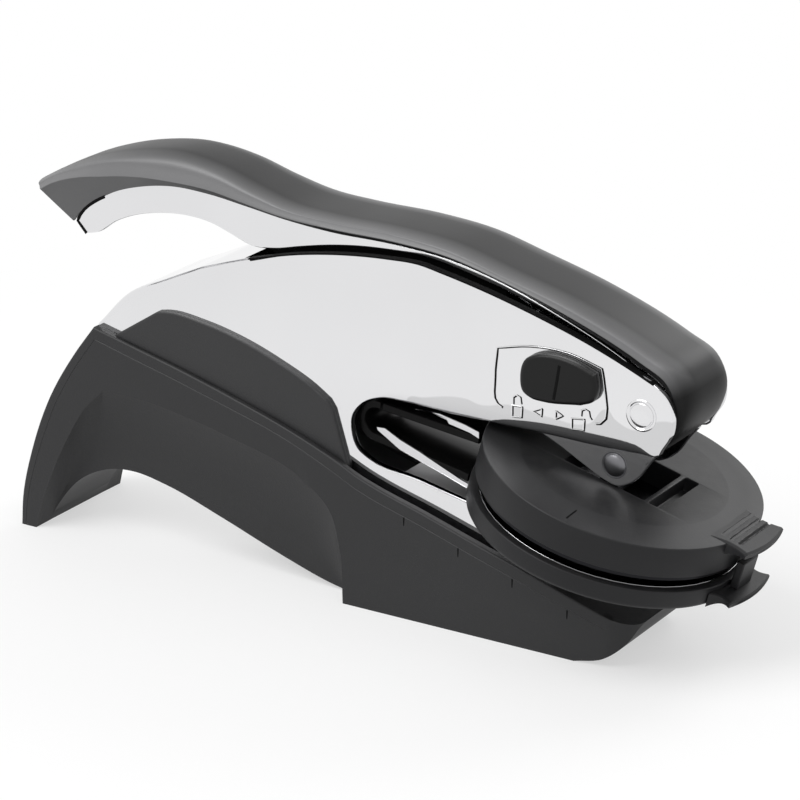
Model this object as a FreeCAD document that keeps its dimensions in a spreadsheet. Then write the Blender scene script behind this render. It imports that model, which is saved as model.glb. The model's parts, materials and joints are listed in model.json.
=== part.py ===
import FreeCAD, Part
import math
import os
import Sketcher

# Desk seal embosser: a pressed frame on a moulded foot, a hand lever with a moulded
# grip, and a sprung pair of die holders that the lever squeezes onto the paper.
# X runs from the tail of the lever to the dies, Y across, Z up from the desk.

V = FreeCAD.Vector
doc = FreeCAD.newDocument("SealEmbosser")

SIZES = {
    # side view: every outline follows these three
    "body_length": 141.1, "body_height": 70.7, "tail_reach": 62.0,
    # moulded foot
    "base_width": 29.0, "base_top_width": 24.1, "nose_corner": 6.0, "scoop_inset": 5.3,
    "scoop_middle": 1.6, "tick_length": 2.0, "tick_width": 0.35, "tick_depth": 0.3,
    "pad_back": 4.5, "pad_length": 18.0, "pad_width": 16.0, "pad_thick": 1.5,
    # pressed frame and its inlays
    "frame_width": 22.0, "frame_plate": 1.5, "panel_proud": 2.1, "fit": 0.04,
    "block_height": 7.0, "anvil_plate_thick": 2.0, "anvil_back": 23.0, "anvil_front": 13.0,
    # lever, grip and pivots
    "lever_gap": 1.2, "lever_plate": 1.2, "cover_overhang": 0.7, "cover_seat": 1.0,
    "pivot_radius": 2.5, "pivot_head_radius": 3.1, "head_height": 0.4,
    "press_radius": 1.8, "press_head_radius": 2.7, "running_fit": 0.05,
    "washer_thick": 1.0, "washer_radius": 4.6,
    "link_side_gap": 0.35, "link_eye_radius": 2.7, "link_foot_radius": 1.4, "foot_gap": 0.3,
    # die stack, in its own tilted frame
    "die_tilt": 15.2, "holder_radius": 27.0, "plateau_radius": 20.0,
    "crown_rise": 0.6, "upper_wall": 6.2, "plate_inset": 0.7, "plate_thick": 1.0,
    "die_radius": 20.5, "die_thick": 0.7, "die_gap": 0.3, "lower_wall": 4.2,
    "lower_lip": 0.3, "recess_rim": 1.6, "lower_chamfer": 0.8,
    "upper_tab_length": 3.8, "upper_tab_width": 16.0, "upper_tab_thick": 3.8,
    "lower_tab_length": 3.7, "lower_tab_width": 17.0, "lower_tab_thick": 2.5,
    "tab_drop": 0.4, "groove_pitch": 1.5, "groove_width": 0.7, "groove_depth": 0.5,
    "slot_side_gap": 0.75, "slot_back": 9.0, "slot_front": 12.3, "lip_back": 8.4,
    "lip_width": 1.0, "slot_floor": 5.1, "pocket_floor": 4.1, "saddle_thick": 1.0,
    "foot_back": 0.2, "foot_depth": 2.9,
    # spring strap that joins the two holders behind the dies
    "strap_width": 17.0, "strap_thick": 1.8, "hinge_back": 48.06, "hinge_drop": 10.02,
    "hinge_radius": 2.5, "hinge_slit": 0.3, "neck_depth": 2.6, "neck_low": 11.0,
    "post_width": 6.0, "post_length": 1.6, "post_stand_off": 1.1,
    # lock on the near side
    "button_length": 17.4, "button_height": 8.3, "button_proud": 2.0, "button_gap": 0.1,
    "rib_width": 0.7, "rib_height": 0.4, "shank_length": 6.0, "shank_height": 3.4,
    "lock_travel": 4.0, "lever_swing": 22.0, "slot_gap": 0.2, "latch_thick": 0.8, "latch_length": 14.0,
    "latch_height": 7.2, "finger_radius": 0.9, "catch_gap": 0.5,
    # screws from below
    "screw_radius": 1.5, "screw_head_radius": 2.8, "screw_head_height": 2.0,
    "counterbore_gap": 0.3, "hex_flat_radius": 1.2, "hex_depth": 1.0,
    "cover_screw_radius": 1.2, "cover_screw_head": 2.2, "cover_screw_length": 2.6,
    # how far a cut runs past the solid that it opens
    "overrun": 5.0,
}

sheet = doc.addObject("Spreadsheet::Sheet", "sizes")
for row, (alias, value) in enumerate(SIZES.items(), 1):
    sheet.set("A%d" % row, alias)
    sheet.set("B%d" % row, str(value))
    sheet.setAlias("B%d" % row, alias)
doc.recompute()


class Term:
    """A length with the sheet expression that gives it."""

    def __init__(self, value, text):
        self.value = value
        self.text = text

    def join(self, sign, other, value):
        return Term(value, "(%s %s %s)" % (self.text, sign, other.text))

    def __add__(self, other):
        other = term(other)
        return self.join("+", other, self.value + other.value)

    def __sub__(self, other):
        other = term(other)
        return self.join("-", other, self.value - other.value)

    def __mul__(self, other):
        other = term(other)
        return self.join("*", other, self.value * other.value)

    def __truediv__(self, other):
        other = term(other)
        return self.join("/", other, self.value / other.value)

    def __neg__(self):
        return Term(-self.value, "(0 - %s)" % self.text)


def term(item):
    return item if isinstance(item, Term) else Term(float(item), "%.6f" % item)


def size(alias):
    return Term(float(sheet.get(alias)), "sizes." + alias)


def bind(item, prop, value):
    item.setExpression(prop, value.text)


ZERO = term(0)
# The bend of a quarter circle, as a share of its chord.
QUARTER = 0.5 * math.tan(math.radians(22.5))
length, height = size("body_length"), size("body_height")
over = size("overrun")

# Outlines of the side view. Each row is a point as shares of the body length and the
# body height; a third number bends the edge to the next point by that share of its
# chord. X is measured from the axis of the dies, forwards.
LEG_SHARES = [
    (-0.9043, 0.0000), (-0.9305, 0.0000), (-0.9284, 0.0806, -0.023),
    (-0.9100, 0.2376, -0.022), (-0.8753, 0.4130, -0.018), (-0.8313, 0.5545),
    (-0.7980, 0.6421),
]
RIM_SHARES = [
    (-0.7980, 0.6421), (-0.7640, 0.6209), (-0.6733, 0.5743), (-0.5670, 0.5120), (-0.4536, 0.4413),
    (-0.3756, 0.3960), (-0.2622, 0.3395), (-0.1538, 0.2786), (-0.0553, 0.1966),
    (0.0695, 0.1245),
]
NOSE_SHARES = [
    (0.0695, 0.1245, -0.048), (0.0581, 0.0736, -0.056), (0.0298, 0.0255, -0.059), (-0.0142, 0.0000),
]
WEB_SHARES = [
    (-0.3827, 0.0000), (-0.4252, 0.0170), (-0.4961, 0.0594),
    (-0.6024, 0.1330), (-0.6981, 0.1924, 0.024), (-0.7512, 0.2093, 0.033),
    (-0.7938, 0.2008, 0.040), (-0.8363, 0.1641, 0.034), (-0.8717, 0.1018, 0.029),
    (-0.8958, 0.0368, 0.017), (-0.9043, 0.0000),
]
CREASE_SHARES = [
    (-0.3763, 0.0000, 0.035), (-0.3792, 0.0948, 0.068), (-0.4047, 0.2164, 0.045),
    (-0.4557, 0.2744), (-0.5627, 0.3579), (-0.6520, 0.4229, 0.025),
    (-0.7229, 0.4597, 0.031), (-0.7817, 0.4569, 0.042), (-0.8448, 0.3168, 0.027),
    (-0.8802, 0.1528), (-0.9036, 0.0000),
]
PANEL_SHARES = [
    (-0.7583, 0.6252), (-0.7286, 0.6747, -0.020), (-0.6832, 0.7313),
    (-0.6279, 0.7270, -0.020), (-0.5464, 0.7016, -0.020), (-0.4699, 0.6492, -0.020),
    (-0.3962, 0.5714), (-0.3799, 0.5318), (-0.3629, 0.3960),
]
FRAME_TOP_SHARES = [
    (-0.8009, 0.6450, -0.043), (-0.7456, 0.7525, -0.019), (-0.6811, 0.8133),
    (-0.6300, 0.8628), (-0.5415, 0.9180), (-0.4600, 0.9562),
    (-0.3728, 0.9887), (-0.3189, 0.9986), (-0.2729, 0.9986), (-0.2374, 0.9844),
    (-0.1751, 0.9590), (-0.0716, 0.9052), (0.0057, 0.8487, -0.032),
    (0.0815, 0.7935, -0.045), (0.1006, 0.7624, -0.062), (0.1084, 0.7143, -0.067),
    (0.1049, 0.6563, -0.066), (0.0886, 0.6167),
]
FRAME_LOW_SHARES = [
    (0.0886, 0.6167), (0.0347, 0.6294, 0.019), (-0.0397, 0.6407), (-0.0900, 0.6266),
    (-0.2013, 0.5997), (-0.2977, 0.6011),
]
THROAT_SHARES = [
    (-0.2977, 0.6011, 0.042), (-0.3296, 0.5983, 0.058), (-0.3586, 0.5757, 0.076),
    (-0.3749, 0.5318, 0.062), (-0.3749, 0.4837, 0.062), (-0.3671, 0.4441, 0.071), (-0.3515, 0.4229),
]
SEAT_SHARES = [
    (-0.7867, 0.5658), (-0.7654, 0.5460), (-0.3756, 0.3112), (-0.1538, 0.1938), (-0.0567, 0.1273),
]
FRAME_INNER_SHARES = [
    (-0.7810, 0.6365, -0.053), (-0.7385, 0.7355, -0.026), (-0.6768, 0.7921),
    (-0.6258, 0.8416, -0.023), (-0.5415, 0.8939),
]
LEVER_TOP_SHARES = [
    (-0.5386, 1.0523, 0.018), (-0.4607, 1.0212), (-0.3685, 1.0127), (-0.2622, 1.0085),
    (-0.2126, 0.9873), (-0.1063, 0.9420), (-0.0574, 0.9095),
    (0.0496, 0.8274, -0.046), (0.0872, 0.7907, -0.076), (0.1035, 0.7284, -0.065),
    (0.0992, 0.6634, -0.070), (0.0751, 0.5969),
]
LEVER_LOW_SHARES = [
    (0.0751, 0.5969, -0.038), (0.0581, 0.5276, -0.046), (0.0446, 0.4950, -0.066),
    (0.0255, 0.4823, -0.034), (0.0057, 0.4894, -0.021), (-0.0624, 0.5290), (-0.1403, 0.5884),
    (-0.2410, 0.6860), (-0.4252, 0.8557), (-0.5386, 0.9420),
]
TAIL_LOW_SHARES = [
    (0.0000, 0.9420), (0.0726, 0.9576), (0.1823, 0.9873, 0.026), (0.2952, 1.0028, 0.026),
    (0.4000, 0.9929, 0.025), (0.5016, 0.9689), (0.6016, 0.9180), (0.6677, 0.8854),
]
TAIL_TOP_SHARES = [
    (0.6935, 0.9250, -0.048), (0.5903, 1.0028, -0.026), (0.4839, 1.0382),
    (0.3790, 1.0636, -0.020), (0.2516, 1.0750, -0.018), (0.1129, 1.0693), (0.0000, 1.0523),
]
# The grip: low X and Z, top X and Z and the share of the full width, station by
# station from the front; behind the handle's root X is a share of the tail's reach.
GRIP_SHARES = [
    (0.0737, 0.5997, 0.0822, 0.5941, 0.93),
    (0.0992, 0.6634, 0.1148, 0.6634, 0.97),
    (0.1035, 0.7284, 0.1247, 0.7412, 1.00),
    (0.0872, 0.7907, 0.1077, 0.8175, 1.00),
    (0.0496, 0.8274, 0.0666, 0.8614, 1.00),
    (-0.0574, 0.9095, -0.0496, 0.9519, 1.00),
    (-0.1559, 0.9632, -0.1502, 0.9986, 1.00),
    (-0.2339, 0.9972, -0.2296, 1.0368, 1.00),
    (-0.3189, 1.0099, -0.3189, 1.0509, 1.00),
    (-0.4181, 1.0156, -0.4181, 1.0552, 1.00),
    (-0.4961, 1.0339, -0.4904, 1.0736, 1.00),
]
GRIP_TAIL_SHARES = [
    (0.0323, 1.0594, 0.0161, 1.1047, 1.00),
    (0.1774, 1.0736, 0.1613, 1.1443, 1.00),
    (0.3145, 1.0764, 0.3226, 1.1641, 1.00),
    (0.4516, 1.0566, 0.4758, 1.1485, 1.00),
    (0.5645, 1.0240, 0.6048, 1.1202, 1.00),
    (0.6452, 0.9844, 0.7097, 1.0877, 1.00),
    (0.6935, 0.9434, 0.7984, 1.0495, 0.99),
    (0.7129, 0.9194, 0.8661, 1.0170, 0.97),
]

# Places on the side view, as shares in the same way.
PIVOT_SHARES = (0.0645, 0.7044)
PRESS_SHARES = (0.0170, 0.5375)
DIE_HEIGHT_SHARE = 0.4762
FINGER_SHARES = (-0.0425, 0.7496)
BUTTON_SHARES = (-0.0500, 0.7617)
SCREW_SHARES = (-0.2693, -0.6378)
COUNTERBORE_SHARES = (0.11, 0.30)
BLOCK_SHARES = ((-0.3119, -0.0638), (-0.6803, -0.5953))
TICK_SHARES = ((-0.2807, 0.3239), (-0.1949, 0.2687), (-0.1106, 0.2192), (-0.0262, 0.1627))
COVER_SCREW_SHARES = (-0.4252, 1.0163)
TAIL_SCREW_SHARES = (0.3871, 1.0636)
SCOOP_SHARE = 0.62
SCREW_SINK_SHARE = 2.55
HANDLE_ROOT_SHARE = -0.5386
TAB_TAPER_SHARE = 0.92
GROOVE_SHARE = 0.7
MITRE_SHARE = 1.2
PIN_CROWN_SHARE = 0.85
RIB_SHARE = 0.7
# The grip's section: shoulder, bend and crown as shares of its half width and height.
SHOULDER_SHARES, BEND_SHARES, CROWN_SHARES = (1.0, 0.32), (0.92, 0.74), (0.62, 0.93)
# The lock button's outline as shares of its half length and half height.
CAP_SHARES = [
    (-1.0, -0.55, 0.06), (-0.86, -1.0), (0.86, -1.0, 0.06), (1.0, -0.55), (1.0, 0.62),
    (0.55, 0.94, 0.03), (-0.8, 1.0, 0.06), (-1.0, 0.55),
]

handle_root = length * HANDLE_ROOT_SHARE
die_height = height * DIE_HEIGHT_SHARE
tilt = size("die_tilt")
tilt_cos = Term(math.cos(math.radians(tilt.value)), "cos(%s)" % tilt.text)
tilt_sin = Term(math.sin(math.radians(tilt.value)), "sin(%s)" % tilt.text)
upper_reach = size("holder_radius") + size("upper_tab_length")
tab_tip = upper_reach * tilt_cos - size("tab_drop") * tilt_sin
# The origin is at the middle of the overall length, from the foot's heel to the tab, on
# the desk.
heel = length * LEG_SHARES[1][0]
die_axis = -(heel + tab_tip) * 0.5


def side(row):
    """A row of the side view's shares as X and Z."""
    return (length * row[0], height * row[1]) + tuple(row[2:])


def tail(row):
    """The same behind the handle's root, where X follows the tail's reach."""
    return (handle_root - size("tail_reach") * row[0], height * row[1]) + tuple(row[2:])


def stacked(along, up):
    """A point of the tilted die stack as X and Z of the side view."""
    return (along * tilt_cos + up * tilt_sin,
            die_height - along * tilt_sin + up * tilt_cos)


def backwards(rows):
    """The same outline from its end to its start."""
    bends = [-(row[2] if len(row) > 2 else 0) for row in rows[:-1]]
    points = [row[:2] for row in rows]
    points.reverse()
    bends.reverse()
    return [point + ((bend,) if bend else ()) for point, bend in zip(points, bends + [0])]


def moved(rows, across, up):
    """The outline shifted by a wall."""
    return [(row[0] + across, row[1] + up) + tuple(row[2:]) for row in rows]


def draw(sketch, rows):
    """Adds a closed outline of lines and arcs, each point bound to its sizes."""
    count = len(rows)
    ends = []
    for at in range(count):
        x1, y1 = (term(rows[at][0]), term(rows[at][1]))
        x2, y2 = (term(rows[(at + 1) % count][0]), term(rows[(at + 1) % count][1]))
        bend = rows[at][2] if len(rows[at]) > 2 else 0
        start, stop = V(x1.value, y1.value, 0), V(x2.value, y2.value, 0)
        if not bend:
            edge = sketch.addGeometry(Part.LineSegment(start, stop))
            ends.append((edge, 1, 2))
            continue
        ratio = 0.125 / abs(bend) + 0.5 * abs(bend)
        chord = stop - start
        radius = chord.Length * ratio
        reach = math.sqrt(radius ** 2 - 0.25 * chord.Length ** 2)
        if abs(bend) > 0.5:
            reach = -reach
        left = V(-chord.y, chord.x, 0).normalize()
        centre = (start + stop) * 0.5 + left * (reach if bend > 0 else -reach)
        first, last = (start, stop) if bend > 0 else (stop, start)
        angles = [math.atan2(p.y - centre.y, p.x - centre.x) for p in (first, last)]
        arc = Part.ArcOfCircle(Part.Circle(centre, V(0, 0, 1), radius), angles[0], angles[1])
        edge = sketch.addGeometry(arc)
        ends.append((edge, 1, 2) if bend > 0 else (edge, 2, 1))
        run = "pow(%s - %s; 2) + pow(%s - %s; 2)" % (x2.text, x1.text, y2.text, y1.text)
        rule = sketch.addConstraint(Sketcher.Constraint("Radius", edge, radius))
        sketch.setExpression("Constraints[%d]" % rule, "sqrt(%s) * %.6f" % (run, ratio))
    for at in range(count):
        here, after = ends[at], ends[(at + 1) % count]
        sketch.addConstraint(Sketcher.Constraint("Coincident", here[0], here[2], after[0], after[1]))
    for at in range(count):
        for kind, value in (("DistanceX", term(rows[at][0])), ("DistanceY", term(rows[at][1]))):
            rule = sketch.addConstraint(
                Sketcher.Constraint(kind, -1, 1, ends[at][0], ends[at][1], value.value))
            bound = "sizes." in value.text
            if bound:
                sketch.setExpression("Constraints[%d]" % rule, value.text)


def ring(sketch, x, y, radius):
    """Adds a circle, bound to its sizes."""
    x, y = term(x), term(y)
    edge = sketch.addGeometry(Part.Circle(V(x.value, y.value, 0), V(0, 0, 1), radius.value))
    rules = (("DistanceX", x, (-1, 1, edge, 3)), ("DistanceY", y, (-1, 1, edge, 3)),
             ("Radius", radius, (edge,)))
    for kind, value, where in rules:
        rule = sketch.addConstraint(Sketcher.Constraint(kind, *where, value.value))
        if "sizes." in value.text:
            sketch.setExpression("Constraints[%d]" % rule, value.text)


def sketch_on(body, plane, name, offset=None):
    """A sketch on one of the body's own planes, lifted from it by an offset."""
    sketch = body.newObject("Sketcher::SketchObject", name)
    base = [item for item in body.Origin.OriginFeatures if item.Role == plane][0]
    sketch.AttachmentSupport = (base, [""])
    sketch.MapMode = "FlatFace"
    if offset is not None:
        sketch.AttachmentOffset = FreeCAD.Placement(V(0, 0, offset.value), FreeCAD.Rotation())
        bind(sketch, "AttachmentOffset.Base.z", offset)
    return sketch


def new_body(label, tilted=False, at=None):
    """A body in the side view's frame, in the tilted die frame or at a point."""
    body = doc.addObject("PartDesign::Body", label)
    body.Label = label
    x, z = at if at else (ZERO, die_height if tilted else ZERO)
    x = die_axis + x
    turn = FreeCAD.Rotation(V(0, 1, 0), tilt.value if tilted else 0)
    body.Placement = FreeCAD.Placement(V(x.value, 0, z.value), turn)
    bind(body, "Placement.Base.x", x)
    if "sizes." in z.text:
        bind(body, "Placement.Base.z", z)
    if tilted:
        bind(body, "Placement.Rotation.Angle", tilt)
    parts.append(body)
    return body


def pad(body, name, plane, rows, depth, cut=False, offset=None, rings=(), flip=False):
    """A pad or a pocket of one outline. Without an offset it is centred on its plane."""
    sketch = sketch_on(body, plane, name + "_sketch", offset)
    for outline in rows:
        draw(sketch, outline)
    for x, y, radius in rings:
        ring(sketch, x, y, radius)
    doc.recompute()
    before = body.Shape.Volume if cut else 0
    feature = body.newObject("PartDesign::Pocket" if cut else "PartDesign::Pad", name)
    feature.Profile = sketch
    feature.SideType = "Symmetric" if offset is None else "One side"
    feature.Reversed = flip
    feature.Length = depth.value
    bind(feature, "Length", depth)
    doc.recompute()
    if cut and not body.Shape.Volume < before:
        raise ValueError("%s removes nothing" % name)
    return feature


def turn(body, name, rows, cut=False, plane="XZ_Plane"):
    """A revolved outline: first column is the radius, second the height on the axis."""
    sketch = sketch_on(body, plane, name + "_sketch")
    draw(sketch, rows)
    doc.recompute()
    feature = body.newObject("PartDesign::Groove" if cut else "PartDesign::Revolution", name)
    feature.Profile = sketch
    feature.ReferenceAxis = (sketch, ["V_Axis"])
    feature.Angle = 360
    doc.recompute()
    return feature


def box(x1, y1, x2, y2):
    return [(x1, y1), (x2, y1), (x2, y2), (x1, y2)]


def many_sided(radius, sides):
    """A disc's outline with few sides, for pieces that repeat."""
    angles = [math.tau * number / sides for number in range(sides)]
    return [(radius * math.cos(angle), radius * math.sin(angle)) for angle in angles]


parts = []

half = 0.5
frame_half = size("frame_width") * half
frame_inner = frame_half - size("frame_plate")
lever_half = frame_inner - size("lever_gap")
lever_inner = lever_half - size("lever_plate")
cover_half = lever_half + size("cover_overhang")
panel_half = frame_half + size("panel_proud")
pivot = side(PIVOT_SHARES)
press = side(PRESS_SHARES)
fit = size("fit")

# The die stack's levels, from the rim of the upper holder down.
plate_top = -size("upper_wall")
plate_low = plate_top - size("plate_thick")
upper_die_low = plate_low - size("die_thick")
lower_die_top = upper_die_low - size("die_gap")
lower_plate_top = lower_die_top - size("die_thick")
lower_plate_low = lower_plate_top - size("plate_thick")
lower_rim = lower_plate_top - size("tab_drop") * 0.25
holder_low = lower_rim - size("lower_wall")
anvil_low = holder_low - size("anvil_plate_thick")

seat = [side(row) for row in SEAT_SHARES]
frame_top = [side(row) for row in FRAME_TOP_SHARES]

# Moulded foot: side profile, drafted sides, rounded nose, scooped arch.
base = new_body("base_shell")
leg, rim, nose, web = (
    [side(row) for row in rows] for rows in (LEG_SHARES, RIM_SHARES, NOSE_SHARES, WEB_SHARES))
pad(base, "foot_profile", "XZ_Plane", [leg[:-1] + rim[:-1] + nose + web[:-1]],
    size("base_width"))
foot_half, top_half = size("base_width") * half, size("base_top_width") * half
draft = [(foot_half, ZERO), (foot_half + over, ZERO), (foot_half + over, height),
         (top_half, height)]
draft_left = [(-x, z) for x, z in draft]
pad(base, "draft_sides", "YZ_Plane", [draft, draft_left], length * 2, cut=True)
nose_x, corner = nose[0][0], size("nose_corner")
round_off = [(nose_x - corner, foot_half, -QUARTER), (nose_x, foot_half - corner),
             (nose_x + over, foot_half - corner), (nose_x + over, foot_half + over),
             (nose_x - corner, foot_half + over)]
round_left = [(x, -y, -bend[0]) if bend else (x, -y) for x, y, *bend in round_off]
pad(base, "nose_corners", "XY_Plane", [round_off, round_left], height * 2, cut=True)

crease = [side(row) for row in CREASE_SHARES]
inner = [row[:2] for row in web]
deep = foot_half - size("scoop_inset")
shallow = foot_half - size("scoop_inset") + size("scoop_middle")


def blend(outer, arch, share):
    """Points between the arch's centre line and its outer crease."""
    return [(b[0] + (a[0] - b[0]) * share, b[1] + (a[1] - b[1]) * share)
            for a, b in zip(outer, arch)]


scoops = []
for name, offset, share in (("scoop_web", deep, 0), ("scoop_middle_line", shallow, SCOOP_SHARE),
                            ("scoop_crease", foot_half - size("scoop_middle") * half, 1)):
    rows = blend(crease, inner, share)
    line = sketch_on(base, "XZ_Plane", name, offset)
    draw(line, rows + [(rows[-1][0], -over), (rows[0][0], -over)])
    scoops.append(line)
doc.recompute()
scoop = base.newObject("PartDesign::SubtractiveLoft", "scoop")
scoop.Profile = scoops[0]
scoop.Sections = scoops[1:]
scoop.Ruled = True
doc.recompute()
outer_scoop = pad(base, "scoop_edge", "XZ_Plane",
                  [blend(crease, inner, 1) + [(crease[-1][0], -over), (crease[0][0], -over)]],
                  over, cut=True, offset=foot_half - size("scoop_middle") * half, flip=True)
other = base.newObject("PartDesign::Mirrored", "other_scoop")
other.Originals = [scoop, outer_scoop]
other.MirrorPlane = ([i for i in base.Origin.OriginFeatures if i.Role == "XZ_Plane"][0], [""])
base.Tip = other
doc.recompute()

# The foot's slot holds the frame down to its seat.
rear = frame_top[0]
pad(base, "frame_slot", "XZ_Plane",
    [seat + [(seat[-1][0], height), (rear[0] - over, height), (rear[0] - over, rear[1] + over),
             rear[:2]]],
    size("frame_width") + fit * 2, cut=True)
ticks = []
tick_half = size("tick_width") * half
for row in TICK_SHARES:
    x, z = side(row)
    ticks.append(box(x - tick_half, z - size("tick_length"), x + tick_half, z))
pad(base, "inch_ticks", "XZ_Plane", ticks, over,
    cut=True, offset=foot_half - size("tick_depth") - tick_half * 4, flip=True)
screw_hole = size("screw_radius") + fit
head_hole = size("screw_head_radius") + size("counterbore_gap")
front_screw, rear_screw = (length * share for share in SCREW_SHARES)
head_levels = [height * share for share in COUNTERBORE_SHARES]
for name, x, level in (("front", front_screw, head_levels[0]), ("rear", rear_screw, head_levels[1])):
    pad(base, name + "_counterbore", "XY_Plane", [], level, cut=True, offset=ZERO,
        rings=[(x, 0, head_hole)], flip=True)
    pad(base, name + "_screw_hole", "XY_Plane", [], height, cut=True, offset=ZERO,
        rings=[(x, 0, screw_hole)], flip=True)
pad_front = -size("pad_back")
pad_box = box(pad_front - size("pad_length"), -size("pad_width") * half, pad_front,
              size("pad_width") * half)
pad(base, "pad_recess", "XY_Plane", [pad_box], size("pad_thick"), cut=True, offset=ZERO, flip=True)

foot_pad = new_body("foot_pad")
pad(foot_pad, "pad_block", "XY_Plane", [pad_box], size("pad_thick"), offset=ZERO)

# Pressed frame: one strip folded over the back, open along the lever, with a throat
# for the paper cut through both cheeks.
frame = new_body("frame")
low = [side(row) for row in FRAME_LOW_SHARES]
throat = [side(row) for row in THROAT_SHARES]
ledge_back = stacked(-size("anvil_back"), anvil_low)
ledge_front = (seat[-1][0], stacked(ZERO, anvil_low)[1]
               + (stacked(ZERO, anvil_low)[0] - seat[-1][0]) * (tilt_sin / tilt_cos))
pad(frame, "cheeks", "XZ_Plane",
    [frame_top[:-1] + low[:-1] + throat + [ledge_back, ledge_front] + backwards(seat)[:-1]
     + [seat[0]]],
    size("frame_width"))
plate = size("frame_plate")
roof = [side(row) for row in FRAME_INNER_SHARES]
pad(frame, "hollow", "XZ_Plane",
    [roof + [(roof[-1][0], height + over), (frame_top[-2][0] + over, height + over),
             (frame_top[-2][0] + over, ZERO), (roof[0][0] + plate, ZERO)]],
    frame_inner * 2, cut=True)
pad(frame, "pivot_hole", "XZ_Plane", [], size("frame_width") + over, cut=True,
    rings=[(pivot[0], pivot[1], size("pivot_radius"))])
button = side(BUTTON_SHARES)
shank_half, shank_rise = size("shank_length") * half, size("shank_height") * half
gap = size("slot_gap")
shank_slot = box(button[0] - shank_half - size("lock_travel") - gap, button[1] - shank_rise - gap,
                 button[0] + shank_half + gap, button[1] + shank_rise + gap)
pad(frame, "lock_slot", "XZ_Plane", [shank_slot], plate + over, cut=True,
    offset=frame_inner - over * half, flip=True)

# Blocks that the two lower screws bite into, seated on the foot between the cheeks.
for name, x, shares in (("block_front", front_screw, BLOCK_SHARES[0]),
                        ("block_rear", rear_screw, BLOCK_SHARES[1])):
    block = new_body(name)
    first, last = (length * share for share in shares)
    lines = (seat[1], seat[2]) if name == "block_rear" else (seat[2], seat[3])
    slope = (lines[1][1] - lines[0][1]) / (lines[1][0] - lines[0][0])
    low_at = [lines[0][1] + (at - lines[0][0]) * slope for at in (first, last)]
    rise = size("block_height")
    if name == "block_front":
        slope_two = (seat[4][1] - seat[3][1]) / (seat[4][0] - seat[3][0])
        low_at[1] = seat[3][1] + (last - seat[3][0]) * slope_two
        foot_line = [(first, low_at[0]), seat[3][:2], (last, low_at[1])]
        lift = tilt_sin / tilt_cos
        top_line = [(last, ledge_front[1] + (ledge_front[0] - last) * lift),
                    (first + (last - first) * half,
                     ledge_front[1] + (ledge_front[0] - last + (last - first) * half) * lift),
                    (first, low_at[0] + rise)]
    else:
        foot_line = [(first, low_at[0]), (last, low_at[1])]
        top_line = [(last, low_at[1] + rise), (first, low_at[0] + rise)]
    pad(block, name + "_profile", "XZ_Plane", [foot_line + top_line], (frame_inner - fit) * 2)
    pad(block, name + "_thread", "XY_Plane", [], height, cut=True, offset=ZERO,
        rings=[(x, 0, size("screw_radius"))], flip=True)

for name, x, level, first in (("base_screw_front", front_screw, head_levels[0], seat[2]),
                              ("base_screw_rear", rear_screw, head_levels[1], seat[1])):
    screw = new_body(name, at=(x, level - size("screw_head_height")))
    radius, head = size("screw_radius"), size("screw_head_radius")
    tip = size("block_height") * 2.4
    pad(screw, "head", "XY_Plane", [many_sided(head, 16)], size("screw_head_height"), offset=ZERO)
    pad(screw, "shank", "XY_Plane", [many_sided(radius, 12)], tip - size("screw_head_height"),
        offset=size("screw_head_height"))
    flat = size("hex_flat_radius")
    hexagon = [(flat * math.cos(math.radians(60 * k)), flat * math.sin(math.radians(60 * k)))
               for k in range(6)]
    pad(screw, "hex_socket", "XY_Plane", [hexagon], size("hex_depth"), cut=True, offset=ZERO,
        flip=True)

# Inlays clipped over the frame's cheeks, flush with the foot's sides.
panel = [side(row) for row in PANEL_SHARES]
rim_under = [row for row in rim if panel[0][0].value < row[0].value < panel[-1][0].value]
for name, sign in (("side_panel_left", 1), ("side_panel_right", -1)):
    inlay = new_body(name)
    rows = panel[:-1] + [panel[-1][:2]] + backwards(rim_under)
    pad(inlay, name + "_form", "XZ_Plane", [rows], size("panel_proud"),
        offset=frame_half if sign < 0 else -panel_half)

# Lever: a pressed channel whose cheeks end in two lobes round the press pin.
lever = new_body("lever_channel")
lever_top = [side(row) for row in LEVER_TOP_SHARES]
lever_low = [side(row) for row in LEVER_LOW_SHARES]
tail_low = [tail(row) for row in TAIL_LOW_SHARES]
tail_top = [tail(row) for row in TAIL_TOP_SHARES]
lever_outline = lever_top[:-1] + lever_low[:-1] + tail_low + tail_top[:-1]
pad(lever, "lever_profile", "XZ_Plane", [lever_outline], lever_half * 2)
wall = size("lever_plate")
back_roof = moved(tail_top, ZERO, -wall)
back_roof[0] = (tail_top[0][0] + wall * MITRE_SHARE, tail_top[0][1] - wall, tail_top[0][2])
front_roof = moved(lever_top[:8], ZERO, -wall)
front_roof[-1] = front_roof[-1][:2]
nose_wall = [(row[0] - wall, row[1]) for row in lever_top[8:-1] + lever_low[:2]]
nose_wall[0] = (lever_top[8][0] - wall * MITRE_SHARE, lever_top[8][1] - wall)
below = lever_low[4][1] - over * 2
open_front = nose_wall[-1][0] + over
pad(lever, "channel", "XZ_Plane",
    [back_roof[:-1] + front_roof + nose_wall + [(open_front, nose_wall[-1][1]),
     (open_front, below), (back_roof[0][0], below)]],
    lever_inner * 2, cut=True)
cover_screws = [("cover_screw_front", side(COVER_SCREW_SHARES)),
                ("cover_screw_rear", tail(TAIL_SCREW_SHARES))]
pad(lever, "cover_screw_holes", "XY_Plane", [], height * 1.2, cut=True, offset=ZERO, flip=True,
    rings=[(place[0], 0, size("cover_screw_radius") + fit) for name, place in cover_screws])
pad(lever, "pin_holes", "XZ_Plane", [], size("frame_width") + over, cut=True,
    rings=[(pivot[0], pivot[1], size("pivot_radius") + size("running_fit")),
           (press[0], press[1], size("press_radius"))])
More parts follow.
